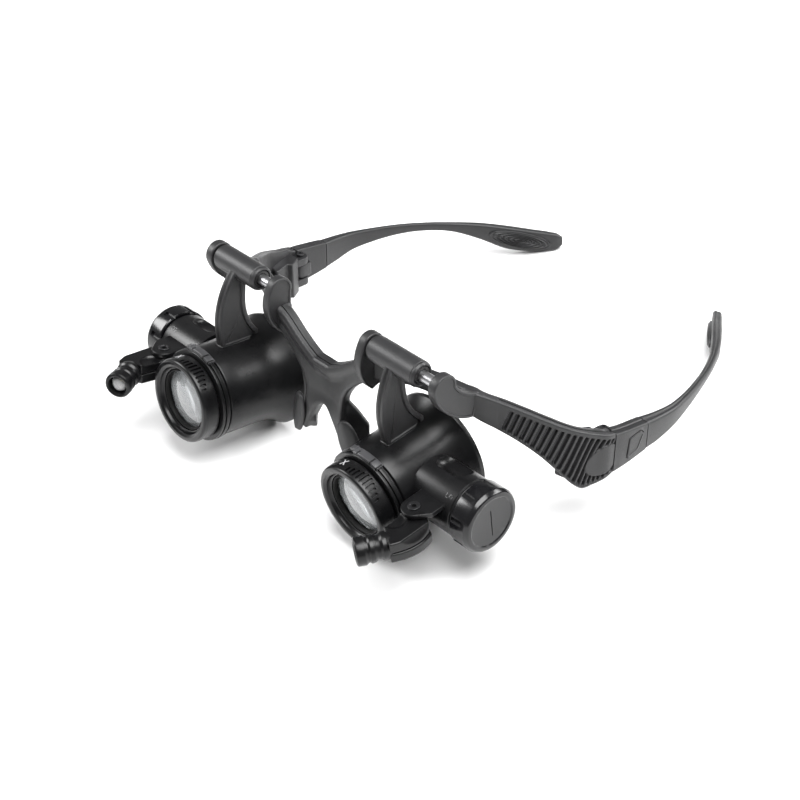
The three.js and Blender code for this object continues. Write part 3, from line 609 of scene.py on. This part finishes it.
for side, sign in SIDES.items():
    low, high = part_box(f"nose_pad_{side}")
    centre = (low + high) / 2 / MM
    pad = leaf(f"nose_pad_leaf_{side}", NOSE_PAD["length"], NOSE_PAD["width"], NOSE_PAD["thick"])
    subdivide = pad.modifiers.new("smooth", "SUBSURF")
    subdivide.levels = subdivide.render_levels = 1
    apply_modifiers(pad)
    turn = (shift((abs(centre.x) - NOSE_PAD["inward"], centre.y, centre.z)) @ spin(NOSE_PAD["turn"], "Z")
            @ spin(NOSE_PAD["lean"], "Y"))
    pad.data.transform(turn)
    piece(pad, "frame", PAD_BLACK, [f"nose_pad_{side}"], side_matrix(sign), sharp=60)


# ---------- loupes ----------
def loupe_matrix(side, mirror=True):
    """The loupe's own frame: origin on the pin, X outwards, Y back, Z up. Lens parts aren't mirrored."""
    pull = Vector(JOINTS[f"holder_pull_{side}"]["axis"])
    across = Vector((1, 0, 0))
    back = -pull
    up = across.cross(back)
    origin = Vector(JOINTS[f"loupe_flip_{side}"]["pos_m"])
    turn = Matrix((across, back, up)).transposed().to_4x4()
    flip = SIDES[side] if mirror else 1
    return shift(origin) @ turn @ Matrix.Diagonal((flip * MM, MM, MM, 1))


AXIS = (0, 0, BARREL["z"])


def barrel_shape():
    front, rear, flange, bore = (BARREL[k] for k in ("front", "rear", "flange", "bore"))
    outside = [(bore, front), (13.9, front, 0.35), (14.0, -9), (14.1, -2), (14.35, 2), (14.9, 4.8),
               (15.7, 7), (16.7, 9), (flange, 10.3, 0.5), (flange, rear, 0.4), (16.4, rear, 0.3)]
    inside = [(16.0, 11.0), (14.4, 7.6), (12.9, 4.6), (11.4, 1.4), (bore, 0)]
    return lathe("barrel", fillet(outside + inside + [(bore, front)]), (0, 1, 0), AXIS, 128)


def tube_shape():
    half, radius, bore = TUBE["half"], TUBE["radius"], TUBE["bore"]
    end = [(bore, half - 0.5), (bore + 0.3, half), (radius - 0.55, half, 0.1),
           (radius - 0.15, half - 0.6, 0.1), (radius - 0.15, half - 1.1), (radius, half - 1.25)]
    profile = end + [(r, -a) for r, a in [(p[0], p[1]) for p in reversed(end)]] + [end[0][:2]]
    return lathe("tube", fillet(profile), (1, 0, 0), (0, 0, 0), 64)


FIN_FRONT = curve((-3.0, 1.0), ((-8.8, -7.0), (-9.0, -15)), ((-9.0, -19), (-8.0, -24.6)))
FIN_REAR = curve((5.2, -24.6), ((5.2, -21.4),), ((0.8, -17), (0.4, -11)), ((0.2, -7), (0.6, -2)),
                 ((1.6, 1.0),))


def fin_shapes():
    fin = plate("fin", FIN_FRONT + FIN_REAR, -1.45, 1.45, edge=0.3, recess=(1.3, 0.55), place=SIDE_PLATE)
    rib = plate("rib", FIN_FRONT + FIN_REAR, -0.75, 0.75, edge=0.2,
                recess=(2.6, 0.2), place=SIDE_PLATE)
    foot = plate("foot", rounded(-8.6, 5.8, -1.9, 1.9, 0.5), -0.35, 0.35, edge=0.3)
    foot.data.transform(spin(math.pi / 2, "Z"))
    foot.data.transform(shift((0, 0, -23.55)))
    return joined("fin", [fin, rib]), foot


def collar_shape():
    front, rear, radius, bore = (COLLAR[k] for k in ("front", "rear", "radius", "bore"))
    profile = [(bore, front), (radius - 0.1, front, 0.3), (radius - 0.1, front + 0.75, 0.1),
               (radius - 0.6, front + 0.85), (radius - 0.6, front + 1.15), (radius, front + 1.25, 0.1),
               (radius, rear - 0.6, 0.1), (radius - 0.5, rear - 0.5), (radius - 0.5, rear - 0.15),
               (radius - 0.1, rear), (bore, rear), (bore, front)]
    return lathe("collar", fillet(profile), (0, 1, 0), AXIS, 128)


def ring_segment(name, low, high, front, rear, start, end, edge=0.2, steps=14):
    """A block bent round the barrel's axis between two angles, from +X."""
    vertices, faces = [], []
    corners = fillet([(low, front), (high, front, edge), (high, rear, edge), (low, rear)])
    for k in range(steps + 1):
        turn = start + (end - start) * k / steps
        vertices += [(r * math.cos(turn), y, BARREL["z"] + r * math.sin(turn)) for r, y in corners]
    count = len(corners)
    faces += [list(range(count)), [len(vertices) - 1 - k for k in range(count)]]
    for k in range(steps):
        for i in range(count):
            a, b = k * count + i, k * count + (i + 1) % count
            faces.append((a, a + count, b + count, b))
    return new_object(name, vertices, faces)


def holder_shape():
    front, shoulder, rear, radius, spigot, seat = HOLDER.values()
    profile = [(10.3, front + 1.3), (10.5, front + 0.5, 0.3), (11.4, front, 0.5),
               (radius - 0.2, front, 0.9), (radius, front + 1.4, 0.3),
               (radius - 0.05, shoulder - 0.5, 0.2), (radius - 0.5, shoulder, 0.1), (spigot, shoulder),
               (spigot, rear, 0.2), (8.8, rear), (8.8, -17.4), (seat, -17.4), (seat, -21.2),
               (10.0, -21.3, 0.1), (10.3, front + 1.3)]
    holder = lathe("holder", fillet(profile), (0, 1, 0), AXIS, 160)
    slots, count = [], 10
    for i in range(count):
        offset = i - (count - 1) / 2
        turn = math.radians(66) - offset * 0.105
        length = 4.0 - abs(offset) * 0.5
        outline = rounded(-0.36, 0.36, 0, length, 0.35)
        slot = plate("slot", outline, radius - 0.7, radius + 1.0, edge=0.0)
        slot.data.transform(shift(AXIS) @ spin(turn - math.pi / 2, "Y").inverted()
                            @ shift((0, front + 0.95, 0)))
        slots.append(slot)
    return cut(holder, joined("slots", slots))


def lens_shape():
    steps = 16
    half, bulge = LENS["edge"] / 2, LENS["bulge"]
    front = [(LENS["radius"] * i / steps, LENS["y"] - half - bulge * (1 - (i / steps) ** 2))
             for i in range(steps + 1)]
    back = [(LENS["radius"] * i / steps, LENS["y"] + half + 0.5 * bulge * (1 - (i / steps) ** 2))
            for i in range(steps, -1, -1)]
    return lathe("lens", front + back, (0, 1, 0), AXIS, 96)


def retainer_shape():
    profile = [(8.75, -20.5), (9.05, -21.1, 0.1), (9.45, -21.1, 0.1), (9.45, -19.9), (8.75, -19.9),
               (8.75, -20.5)]
    return lathe("retainer", fillet(profile), (0, 1, 0), AXIS, 96)


def battery_tube_shape():
    start, end, radius, mouth = (CELL_TUBE[k] for k in ("start", "end", "radius", "mouth"))
    profile = [(0, start), (radius, start), (radius, end - 0.9, 0.1), (radius - 0.25, end - 0.75, 0.1),
               (radius - 0.25, end, 0.25), (mouth, end), (mouth, end - 3.9), (6.2, end - 3.9), (6.2, 15.4),
               (0, 15.4)]
    centre = (0, CELL_TUBE["y"], CELL_TUBE["z"])
    tube = lathe("battery_tube", fillet(profile), (1, 0, 0), centre, 96)
    profile = fillet([(0, -5.6), (6, -5.6, 5.4), (6, 5.6, 5.4), (0, 5.6)], segments=10)
    thumb_place = (17.8, CELL_TUBE["y"] + 4.4, CELL_TUBE["z"] + 12.4)
    thumb = lathe("thumb", profile, (1, 0, 0), thumb_place, 48)
    inner = lathe("inner", [(0, -15), (13, -15), (13, 15), (0, 15)], (0, 1, 0), AXIS, 64)
    return cut(tube, thumb, inner)


def cap_shape():
    start, end, radius = CAP["start"], CAP["end"], CAP["radius"]
    profile = [(0, end - 0.35), (radius - 2.35, end - 0.35, 0.1), (radius - 2.1, end - 0.1, 0.1),
               (radius - 1.8, end, 0.3), (radius - 0.7, end - 0.15, 0.8), (radius, end - 1.4, 0.5),
               (radius, start + 0.35, 0.2), (radius - 0.35, start, 0.1), (7.4, start), (7.4, start - 3.6),
               (6.4, start - 3.6), (6.4, end - 1.9), (0, end - 1.9)]
    centre = (0, CELL_TUBE["y"], CELL_TUBE["z"])
    cap = lathe("cap", fillet(profile), (1, 0, 0), centre, 128)
    notches, count = [], 8
    for i in range(count):
        notch = plate("notch", fillet([(start - 1, -0.75), (end - 2.6, -0.75, 0.4), (end - 2.6, 0.75, 0.4),
                                       (start - 1, 0.75)], True), radius - 0.65, radius + 1, edge=0.0)
        notch.data.transform(shift(centre) @ spin(TAU * (i + 0.5) / count, "X"))
        notches.append(notch)
    line = plate("line", rounded(-0.16, 0.16, -5.0, 4.0, 0.1), end - 0.55, end + 1, edge=0.0)
    line.data.transform(shift(centre) @ SIDE_PLATE)
    return cut(cap, joined("notches", notches), line)


def ear_shape():
    x, y, knuckle = LAMP["x"], LAMP["y"], LAMP["knuckle"] + 0.25
    root = fillet([(x + 2.9, y - 2.4), (x + 5.7, y + 1.2, 1.0), (x + 5.7, y + 8), (x - knuckle, y + 8)])
    outline = arc(x, y, knuckle, math.pi, 1.78 * math.pi, 18) + root[1:]
    low = LAMP["top"] + 0.3
    ear = plate("ear", outline, low, low + 1.5, edge=0.28)
    profile = [(0, low - 1), (1.25, low - 1), (1.25, low + 3), (0, low + 3)]
    return cut(ear, lathe("hole", profile, (0, 0, 1), (x, y, 0), 32))


def rivet_shape():
    low, head = LAMP["bottom"] + 1, LAMP["top"] + 1.9
    centre = (LAMP["x"], LAMP["y"], 0)
    profile = fillet([(0, low), (1.1, low), (1.1, head - 0.1), (1.7, head - 0.1), (1.75, head + 0.35, 0.2),
                      (1.2, head + 0.35), (1.05, head + 0.15), (0, head + 0.15)])
    rivet = lathe("rivet", profile, (0, 0, 1), centre, 40)
    hexagon = [(0, head - 0.9), (0.75, head - 0.9), (0.75, head + 2), (0, head + 2)]
    socket = lathe("socket", hexagon, (0, 0, 1), centre, 6)
    return cut(rivet, socket)


def lamp_plan(grow=0.0):
    x, y, knuckle = LAMP["x"], LAMP["y"], LAMP["knuckle"]
    start, end = Vector(NOSE["start"]), Vector(NOSE["end"])
    along = (end - start).normalized()
    across = Vector((-along.y, along.x))
    root = start + along * 1.2
    outer, inner = root + across * (3.7 + grow * 0.3), root - across * 3.7
    inside = curve((x - knuckle * 0.89, y - knuckle * 0.45), ((x - 2.4, y - 5), tuple(inner)))
    tail = curve(tuple(outer), ((27.2 + grow, -21.5), (24.6 + grow, -15.9 + grow)), ((22.6, -14.4),))
    return arc(x, y, knuckle, 0.55 * math.pi, 1.15 * math.pi, 12) + inside[1:] + tail


def lamp_shells():
    """The lamp arm's two halves: a scooped upper one, and a lower one with a thumb lip at its tail."""
    top, seam, bottom = LAMP["top"], LAMP["seam"], LAMP["bottom"]
    hole = lathe("hole", [(0, bottom - 1), (1.3, bottom - 1), (1.3, top + 1), (0, top + 1)], (0, 0, 1),
                 (LAMP["x"], LAMP["y"], 0), 32)
    upper = plate("upper", lamp_plan(), seam + 0.12, top, edge=0.3)
    scoop = lathe("scoop", fillet([(0, -9), (9.4, -9, 8.8), (9.4, 9, 8.8), (0, 9)], segments=12), (0, 1, 0),
                  (33.2, -20.9, top + 3.0), 64)
    cut(upper, scoop)
    dip = lathe("dip", fillet([(0, -4), (4, -4, 3.8), (4, 4, 3.8), (0, 4)], segments=8), (0, 0, 1),
                (16.6, -21.0, top + 3.2), 48)
    cut(upper, dip)
    upper = moulded("lamp_upper", [upper], 0.2, 5)
    lower = plate("lower", lamp_plan(0.4), bottom, seam - 0.12, edge=0.45)
    lower = moulded("lamp_lower", [lower], 0.2, 4)
    return cut(upper, hole), lower


def nose_shapes():
    start, end = Vector((*NOSE["start"], 0)), Vector((*NOSE["end"], 0))
    along = (end - start)
    length = along.length
    height = (LAMP["top"] + LAMP["bottom"]) / 2
    centre = (start.x, start.y, height)
    radius = NOSE["radius"]
    body = [(0, 0), (3.3, 0, 0.3), (3.6, 0.8), (3.9, 1.6, 0.3), (4.0, 2.6, 0.3), (3.45, 3.3, 0.3),
            (3.35, 4.2, 0.4), (3.85, 5.0, 0.3), (3.95, 6.0, 0.3), (3.6, 6.5, 0.2), (3.6, 6.9, 0.2),
            (radius, 7.6, 0.4), (radius - 0.05, length - 0.4, 0.5), (radius - 0.7, length, 0.3),
            (3.0, length - 0.25), (2.8, length - 0.9), (2.8, 4.6), (0, 4.6)]
    nose = lathe("nose", fillet(body), along.normalized(), centre, 64)
    dome = [(0, 4.8), (2.5, 4.8), (2.5, length - 2.4)]
    for t in np.linspace(0.1, math.pi / 2 - 0.1, 10):
        dome.append((2.5 * math.cos(t), length - 2.4 + 2.2 * math.sin(t)))
    bulb = lathe("bulb", dome + [(0, length - 0.2)], along.normalized(), centre, 48)
    cup = [(0, 5.1), (1.6, 5.1), (1.9, 6.6), (1.5, 6.6), (0.9, 5.7), (0, 5.7)]
    core = lathe("core", cup, along.normalized(), centre, 32)
    die = lathe("die", fillet([(0, 5.75), (0.8, 5.75, 0.1), (0.8, 6.1, 0.2), (0, 6.1)]),
                along.normalized(), centre, 24)
    return nose, bulb, core, die


def strokes(name, lines, width, thick, place):
    """Flat strokes between points in a plane, as thin raised paint."""
    parts = []
    for (x0, y0), (x1, y1) in lines:
        along = Vector((x1 - x0, y1 - y0)).normalized() * (width / 2)
        side = Vector((-along.y, along.x))
        a, b = Vector((x0, y0)) - along, Vector((x1, y1)) + along
        parts.append(plate("stroke", [tuple(a - side), tuple(b - side), tuple(b + side), tuple(a + side)],
                           0, thick, edge=0.01))
    obj = joined(name, parts)
    obj.data.transform(place)
    return obj


def tab_shapes():
    """The collar's bright thumb tab along its top, with a notch and two ticks."""
    radius, front, rear = COLLAR["radius"], COLLAR["front"], COLLAR["rear"]
    tab = ring_segment("tab", radius - 0.8, radius + 0.75, front + 0.4, rear - 0.1, math.radians(66),
                       math.radians(104))
    lug = ring_segment("lug", radius - 0.8, radius + 1.0, front + 1.2, rear + 0.1, math.radians(104),
                       math.radians(112))
    ticks = [ring_segment("tick", radius - 0.3, radius + 0.9, front + 0.3, rear - 0.4, math.radians(a),
                          math.radians(a + 1.6)) for a in (76, 66.5)]
    notch = ring_segment("notch", radius + 0.35, radius + 2, front, rear - 1.2, math.radians(96),
                         math.radians(98.5))
    return joined("tab", [cut(tab, notch), lug]), joined("ticks", ticks)


MARK_X = [((-0.75, -1.0), (0.75, 1.0)), ((-0.75, 1.0), (0.75, -1.0))]
MARK_5 = [((0.6, 1.0), (-0.6, 1.0)), ((-0.6, 1.0), (-0.6, 0.1)), ((-0.6, 0.1), (0.6, 0.1)),
          ((0.6, 0.1), (0.6, -1.0)), ((0.6, -1.0), (-0.6, -1.0))]
DIGITS = {"left": MARK_5, "right": MARK_5 + [((-0.6, 0.1), (-0.6, -1.0))]}


for side, sign in SIDES.items():
    place = loupe_matrix(side)
    plain = loupe_matrix(side, mirror=False)
    loupe, holder_body = f"loupe_{side}", f"lens_holder_{side}"

    def add(obj, name, body, look, nodes=(), where=place, sharp=38):
        obj.name = f"{name}_{side}"
        return piece(obj, body, look, [f"{node}_{side}" for node in nodes], where, sharp)

    add(barrel_shape(), "barrel_turned", loupe, LOUPE_BLACK, ["barrel"])
    add(tube_shape(), "slide_tube", loupe, FRAME_BLACK, ["loupe_bracket"])
    fin, foot = fin_shapes()
    add(fin, "fin", loupe, FRAME_BLACK)
    add(foot, "fin_foot", loupe, LOUPE_BLACK)
    sleeve = fillet([(1.75, -9.4), (2.55, -9.4, 0.1), (2.55, 9.4, 0.1), (1.75, 9.4), (1.75, -9.4)])
    bush = lathe("bush", sleeve, (1, 0, 0), segments=48)
    add(bush, "bush_sleeve", f"pivot_slider_{side}", BUSH_BLACK, ["pivot_bush"])

    add(battery_tube_shape(), "battery_housing", loupe, LOUPE_BLACK, ["battery_tube"])
    add(cap_shape(), "battery_screw_cap", f"battery_cap_{side}", CAP_BLACK, ["battery_cap"])
    digit_place = (place @ shift((24.2, CELL_TUBE["y"], CELL_TUBE["z"]))
                   @ spin(math.radians(38), "X") @ shift((0, 0, CELL_TUBE["radius"] - 0.04))
                   @ spin(-math.pi / 2 * sign, "Z") @ Matrix.Diagonal((sign, 1, 1, 1)))
    digit = strokes("digit", DIGITS[side], 0.22, 0.07, Matrix.Identity(4))
    add(digit, "housing_digit", loupe, CAP_BLACK, where=digit_place)

    add(collar_shape(), "collar_ring", f"lens_collar_{side}", LOUPE_BLACK, ["lens_collar"],
        plain)
    tab, ticks = tab_shapes()
    add(tab, "collar_tab", f"lens_collar_{side}", TAB_GREY, where=plain)
    add(ticks, "collar_ticks", f"lens_collar_{side}", BORE_BLACK, where=plain)
    add(holder_shape(), "holder_ring", holder_body, LOUPE_BLACK, ["lens_holder"], plain)
    mark_turn = shift(AXIS) @ spin(math.radians(-18), "Y")
    mark_place = plain @ mark_turn @ shift((0, -19.6, HOLDER["radius"] - 0.03))
    mark = strokes("mark", MARK_X, 0.25, 0.06, Matrix.Identity(4))
    add(mark, "holder_mark", holder_body, PALE_PAINT, where=mark_place)
    add(lens_shape(), "lens_glass", holder_body, GLASS, ["lens"], plain)
    add(retainer_shape(), "retainer_ring", holder_body, BORE_BLACK, ["lens_retainer"], plain)

    add(ear_shape(), "ear_plate", loupe, LOUPE_BLACK, ["lamp_ear"])
    add(rivet_shape(), "ear_rivet", loupe, DARK_STEEL, ["lamp_rivet"])
    upper, lower = lamp_shells()
    add(upper, "lamp_upper", f"lamp_{side}", LOUPE_BLACK, ["lamp_upper_shell"])
    add(lower, "lamp_lower", f"lamp_{side}", LOUPE_BLACK, ["lamp_lower_shell"])
    nose, bulb, core, die = nose_shapes()
    add(nose, "lamp_barrel", f"lamp_{side}", LOUPE_BLACK, ["lamp_nose"])
    add(bulb, "led_dome", f"lamp_{side}", LED_CLEAR, ["led_bulb"])
    add(core, "led_cup", f"lamp_{side}", STEEL)
    add(die, "led_die", f"lamp_{side}", PHOSPHOR)

    for node in ("battery_spring", "battery_contact", "button_cell_1", "button_cell_2", "button_cell_3"):
        frame["nodes"][f"{node}_{side}"].data.materials.clear()
        frame["nodes"][f"{node}_{side}"].data.materials.append(STEEL)


# ---------- temples ----------
BLOCK = [(71.7, 43.2, -8.4, -21.5, 4.2), (72.0, 45.6, -8.75, -21.1, 4.2), (72.1, 48.5, -9.2, -20.8, 4.2),
         (72.1, 52.5, -9.75, -20.3, 4.2), (72.1, 56.0, -10.3, -19.8, 4.2)]
ARM = [(72.1, 56.3, -10.3, -19.8, 4.2), (72.1, 61, -10.7, -19.4, 3.6), (71.7, 68, -11.3, -18.1, 3.0),
       (69.6, 77, -12.0, -17.1, 2.5), (66.7, 86, -12.7, -16.5, 2.3), (63.1, 95, -13.7, -16.8, 2.3),
       (58.6, 104, -14.9, -18.4, 2.5), (53.4, 112.6, -16.1, -22.0, 3.0), (47.5, 120.8, -17.8, -26.3, 3.3),
       (42.2, 127.8, -19.6, -27.8, 3.2), (38.4, 132.8, -20.9, -27.9, 3.0),
       (36.3, 135.3, -21.8, -27.3, 2.8), (35.3, 136.4, -23.0, -26.2, 2.2)]
LATCH_OUTLINE = [(47.9, -18.9, 0.6), (52.2, -17.8, 0.8), (54.4, -13.0, 0.6), (53.0, -11.6, 0.5),
                 (48.5, -12.4, 0.5)]


TONGUE_OUTLINE = fillet([(57.4, -18.3), (57.4, -12.1), (47.2, -12.1, 0.8), (47.2, -13.5, 0.4),
                         (53.4, -13.5, 0.8), (53.4, -16.9, 0.8), (47.2, -16.9, 0.4), (47.2, -18.3, 0.8)],
                        True)


def latch_window(grow):
    points = fillet([(y, z, r) for y, z, r in LATCH_OUTLINE], True)
    return inset(points, -grow).tolist()


def tip_pad_shape():
    """An oval pad with concentric ripples; X along the tip, Z up, facing -Y."""
    long, short = TIP_PAD["long"], TIP_PAD["short"]
    rings, count = 60, 64
    vertices, faces = [(0, -1.66, 0)], []
    for r in range(1, rings + 1):
        rho = r / rings
        for k in range(count):
            turn = TAU * k / count
            ripple = 0.26 * math.cos(TAU * 6 * rho) * smooth_step((1 - rho) / 0.1)
            y = -1.05 - 0.35 * (1 - rho ** 6) - ripple
            vertices.append((long * rho * math.cos(turn), y, short * rho * math.sin(turn)))
    for k in range(count):
        faces.append((0, 1 + k, 1 + (k + 1) % count))
    for r in range(rings - 1):
        for k in range(count):
            a, b = 1 + r * count + k, 1 + r * count + (k + 1) % count
            faces.append((a, b, b + count, a + count))
    base = 1 + (rings - 1) * count
    floor = len(vertices)
    vertices += [(v[0], 0.6, v[2]) for v in vertices[base:base + count]]
    for k in range(count):
        a, b = base + k, base + (k + 1) % count
        faces.append((a, b, floor + (k + 1) % count, floor + k))
    faces.append([floor + k for k in range(count)])
    return new_object("tip", vertices, faces)


for side, sign in SIDES.items():
    mirror = side_matrix(sign)
    hinge, arm_body = f"temple_hinge_{side}", f"temple_{side}"
    block = bar(f"hinge_housing_{side}", BLOCK, plain_section(0.55, 0.25), 0.4)
    window = plate("window", latch_window(0.28), WINDOW_FLOOR, OUTSIDE, edge=0.0, place=SIDE_PLATE)
    opening = [(46.9, -18.6), (58, -18.6), (58, -11.8), (46.9, -11.8)]
    slot = plate("slot", opening, *TONGUE_SLOT, edge=0.0, place=SIDE_PLATE)
    cut(block, window, slot)
    piece(block, hinge, FRAME_BLACK, [f"hinge_block_{side}"], mirror)
    latch = plate(f"latch_tongue_{side}", latch_window(0.0), *LATCH_FACES, edge=0.2, recess=(0.5, 0.12),
                  place=SIDE_PLATE)
    piece(latch, f"release_latch_{side}", FRAME_BLACK, [f"release_latch_{side}"], mirror)
    axis_x, axis_y = middle(f"hinge_screw_{side}").x * sign, middle(f"hinge_screw_{side}").y
    outline = fillet([(axis_x + 2.4, axis_y - 2.4, 2.3), (axis_x + 2.4, axis_y + 3.4, 0.3),
                      (axis_x - 1.6, axis_y + 3.4, 0.8), (axis_x - 2.4, axis_y - 2.4, 2.3)], True)
    knuckle = plate(f"hinge_knuckle_{side}", outline, *KNUCKLE, edge=0.25)
    piece(knuckle, hinge, FRAME_BLACK, place=mirror)

    arm = bar(f"temple_bow_{side}", ARM, plain_section(1.0, 0.3), 0.8)
    piece(arm, arm_body, FRAME_BLACK, [f"temple_arm_{side}"], mirror, sharp=60)
    tongue = plate(f"temple_tongue_{side}", TONGUE_OUTLINE, *TONGUE, edge=0.2, place=SIDE_PLATE)
    piece(tongue, arm_body, FRAME_BLACK, place=mirror)
    low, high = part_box(f"tip_pad_{side}")
    centre = (low + high) / 2 / MM
    pad = tip_pad_shape()
    pad.name = f"tip_ripple_pad_{side}"
    lie = spin(TIP_PAD["turn"], "Z") @ spin(TIP_PAD["droop"], "Y")
    pad.data.transform(shift((abs(centre.x), centre.y, centre.z)) @ lie)
    piece(pad, arm_body, PAD_BLACK, [f"tip_pad_{side}"], mirror, sharp=60)


# ---------- floor, light and camera ----------
def lowest(nodes):
    return min((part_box(node)[0].z for node in nodes))


FLOOR_HALF = 1.6
FLOOR_GAP = 0.0006
REST_BACK = 0.008                              # the tips touch this far before their ends
# The floor slopes so that it touches both the barrels and the temple tips.
front_low = min(lowest([f"barrel_{side}"]) for side in SIDES)
tip_low = lowest([f"temple_arm_{side}" for side in SIDES])
tip_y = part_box("temple_arm_left")[1].y - REST_BACK
slope = (tip_low - front_low) / tip_y
floor_mesh = bpy.data.meshes.new("floor")
corners = [(-FLOOR_HALF, -FLOOR_HALF, 0), (FLOOR_HALF, -FLOOR_HALF, 0), (FLOOR_HALF, FLOOR_HALF, 0),
           (-FLOOR_HALF, FLOOR_HALF, 0)]
floor_mesh.from_pydata(corners, [], [(0, 1, 2, 3)])
floor = bpy.data.objects.new("floor", floor_mesh)
bpy.context.scene.collection.objects.link(floor)
floor.matrix_world = shift((0, 0, front_low - FLOOR_GAP)) @ spin(math.atan(slope), "X")
floor_look = surface("floor_white", (0.86, 0.86, 0.86), (0.88, 0.88, 0.88), (0.5, 0.6), 3.0, 0.02,
                     mottle=200.0)
floor_mesh.materials.append(floor_look)


def softbox(name, place, target, size, power):
    light = bpy.data.lights.new(name, "AREA")
    light.shape = "RECTANGLE"
    light.size, light.size_y = size
    light.energy = power
    obj = bpy.data.objects.new(name, light)
    bpy.context.scene.collection.objects.link(obj)
    obj.location = place
    obj.rotation_mode = "QUATERNION"
    obj.rotation_quaternion = (Vector(target) - Vector(place)).to_track_quat("-Z", "Y")
    return obj


softbox("key", (0.25, -0.05, 0.62), (0, 0, 0), (0.5, 0.5), 9.5)
softbox("side", (-0.55, -0.35, 0.40), (0, 0, 0), (0.3, 0.3), 5.0)
softbox("back", (0.35, 0.70, 0.45), (0, 0.05, 0), (0.5, 0.3), 6.0)

world = bpy.data.worlds.new("studio")
bpy.context.scene.world = world
world.use_nodes = True
world.node_tree.nodes["Background"].inputs["Color"].default_value = (1, 1, 1, 1)
world.node_tree.nodes["Background"].inputs["Strength"].default_value = 0.26

bpy.context.scene.view_settings.view_transform = "Standard"

camera_data = bpy.data.cameras.new("camera")
camera_data.lens = FOCAL_LENGTH
camera_data.sensor_width = 36.0
camera_data.clip_start = 0.01
camera = bpy.data.objects.new("camera", camera_data)
bpy.context.scene.collection.objects.link(camera)
bpy.context.scene.camera = camera
back = Vector((math.sin(AZIMUTH) * math.cos(ELEVATION), -math.cos(AZIMUTH) * math.cos(ELEVATION),
               math.sin(ELEVATION)))
camera.location = AIM + back * DISTANCE
camera.rotation_mode = "QUATERNION"
camera.rotation_quaternion = (-back).to_track_quat("-Z", "Y")
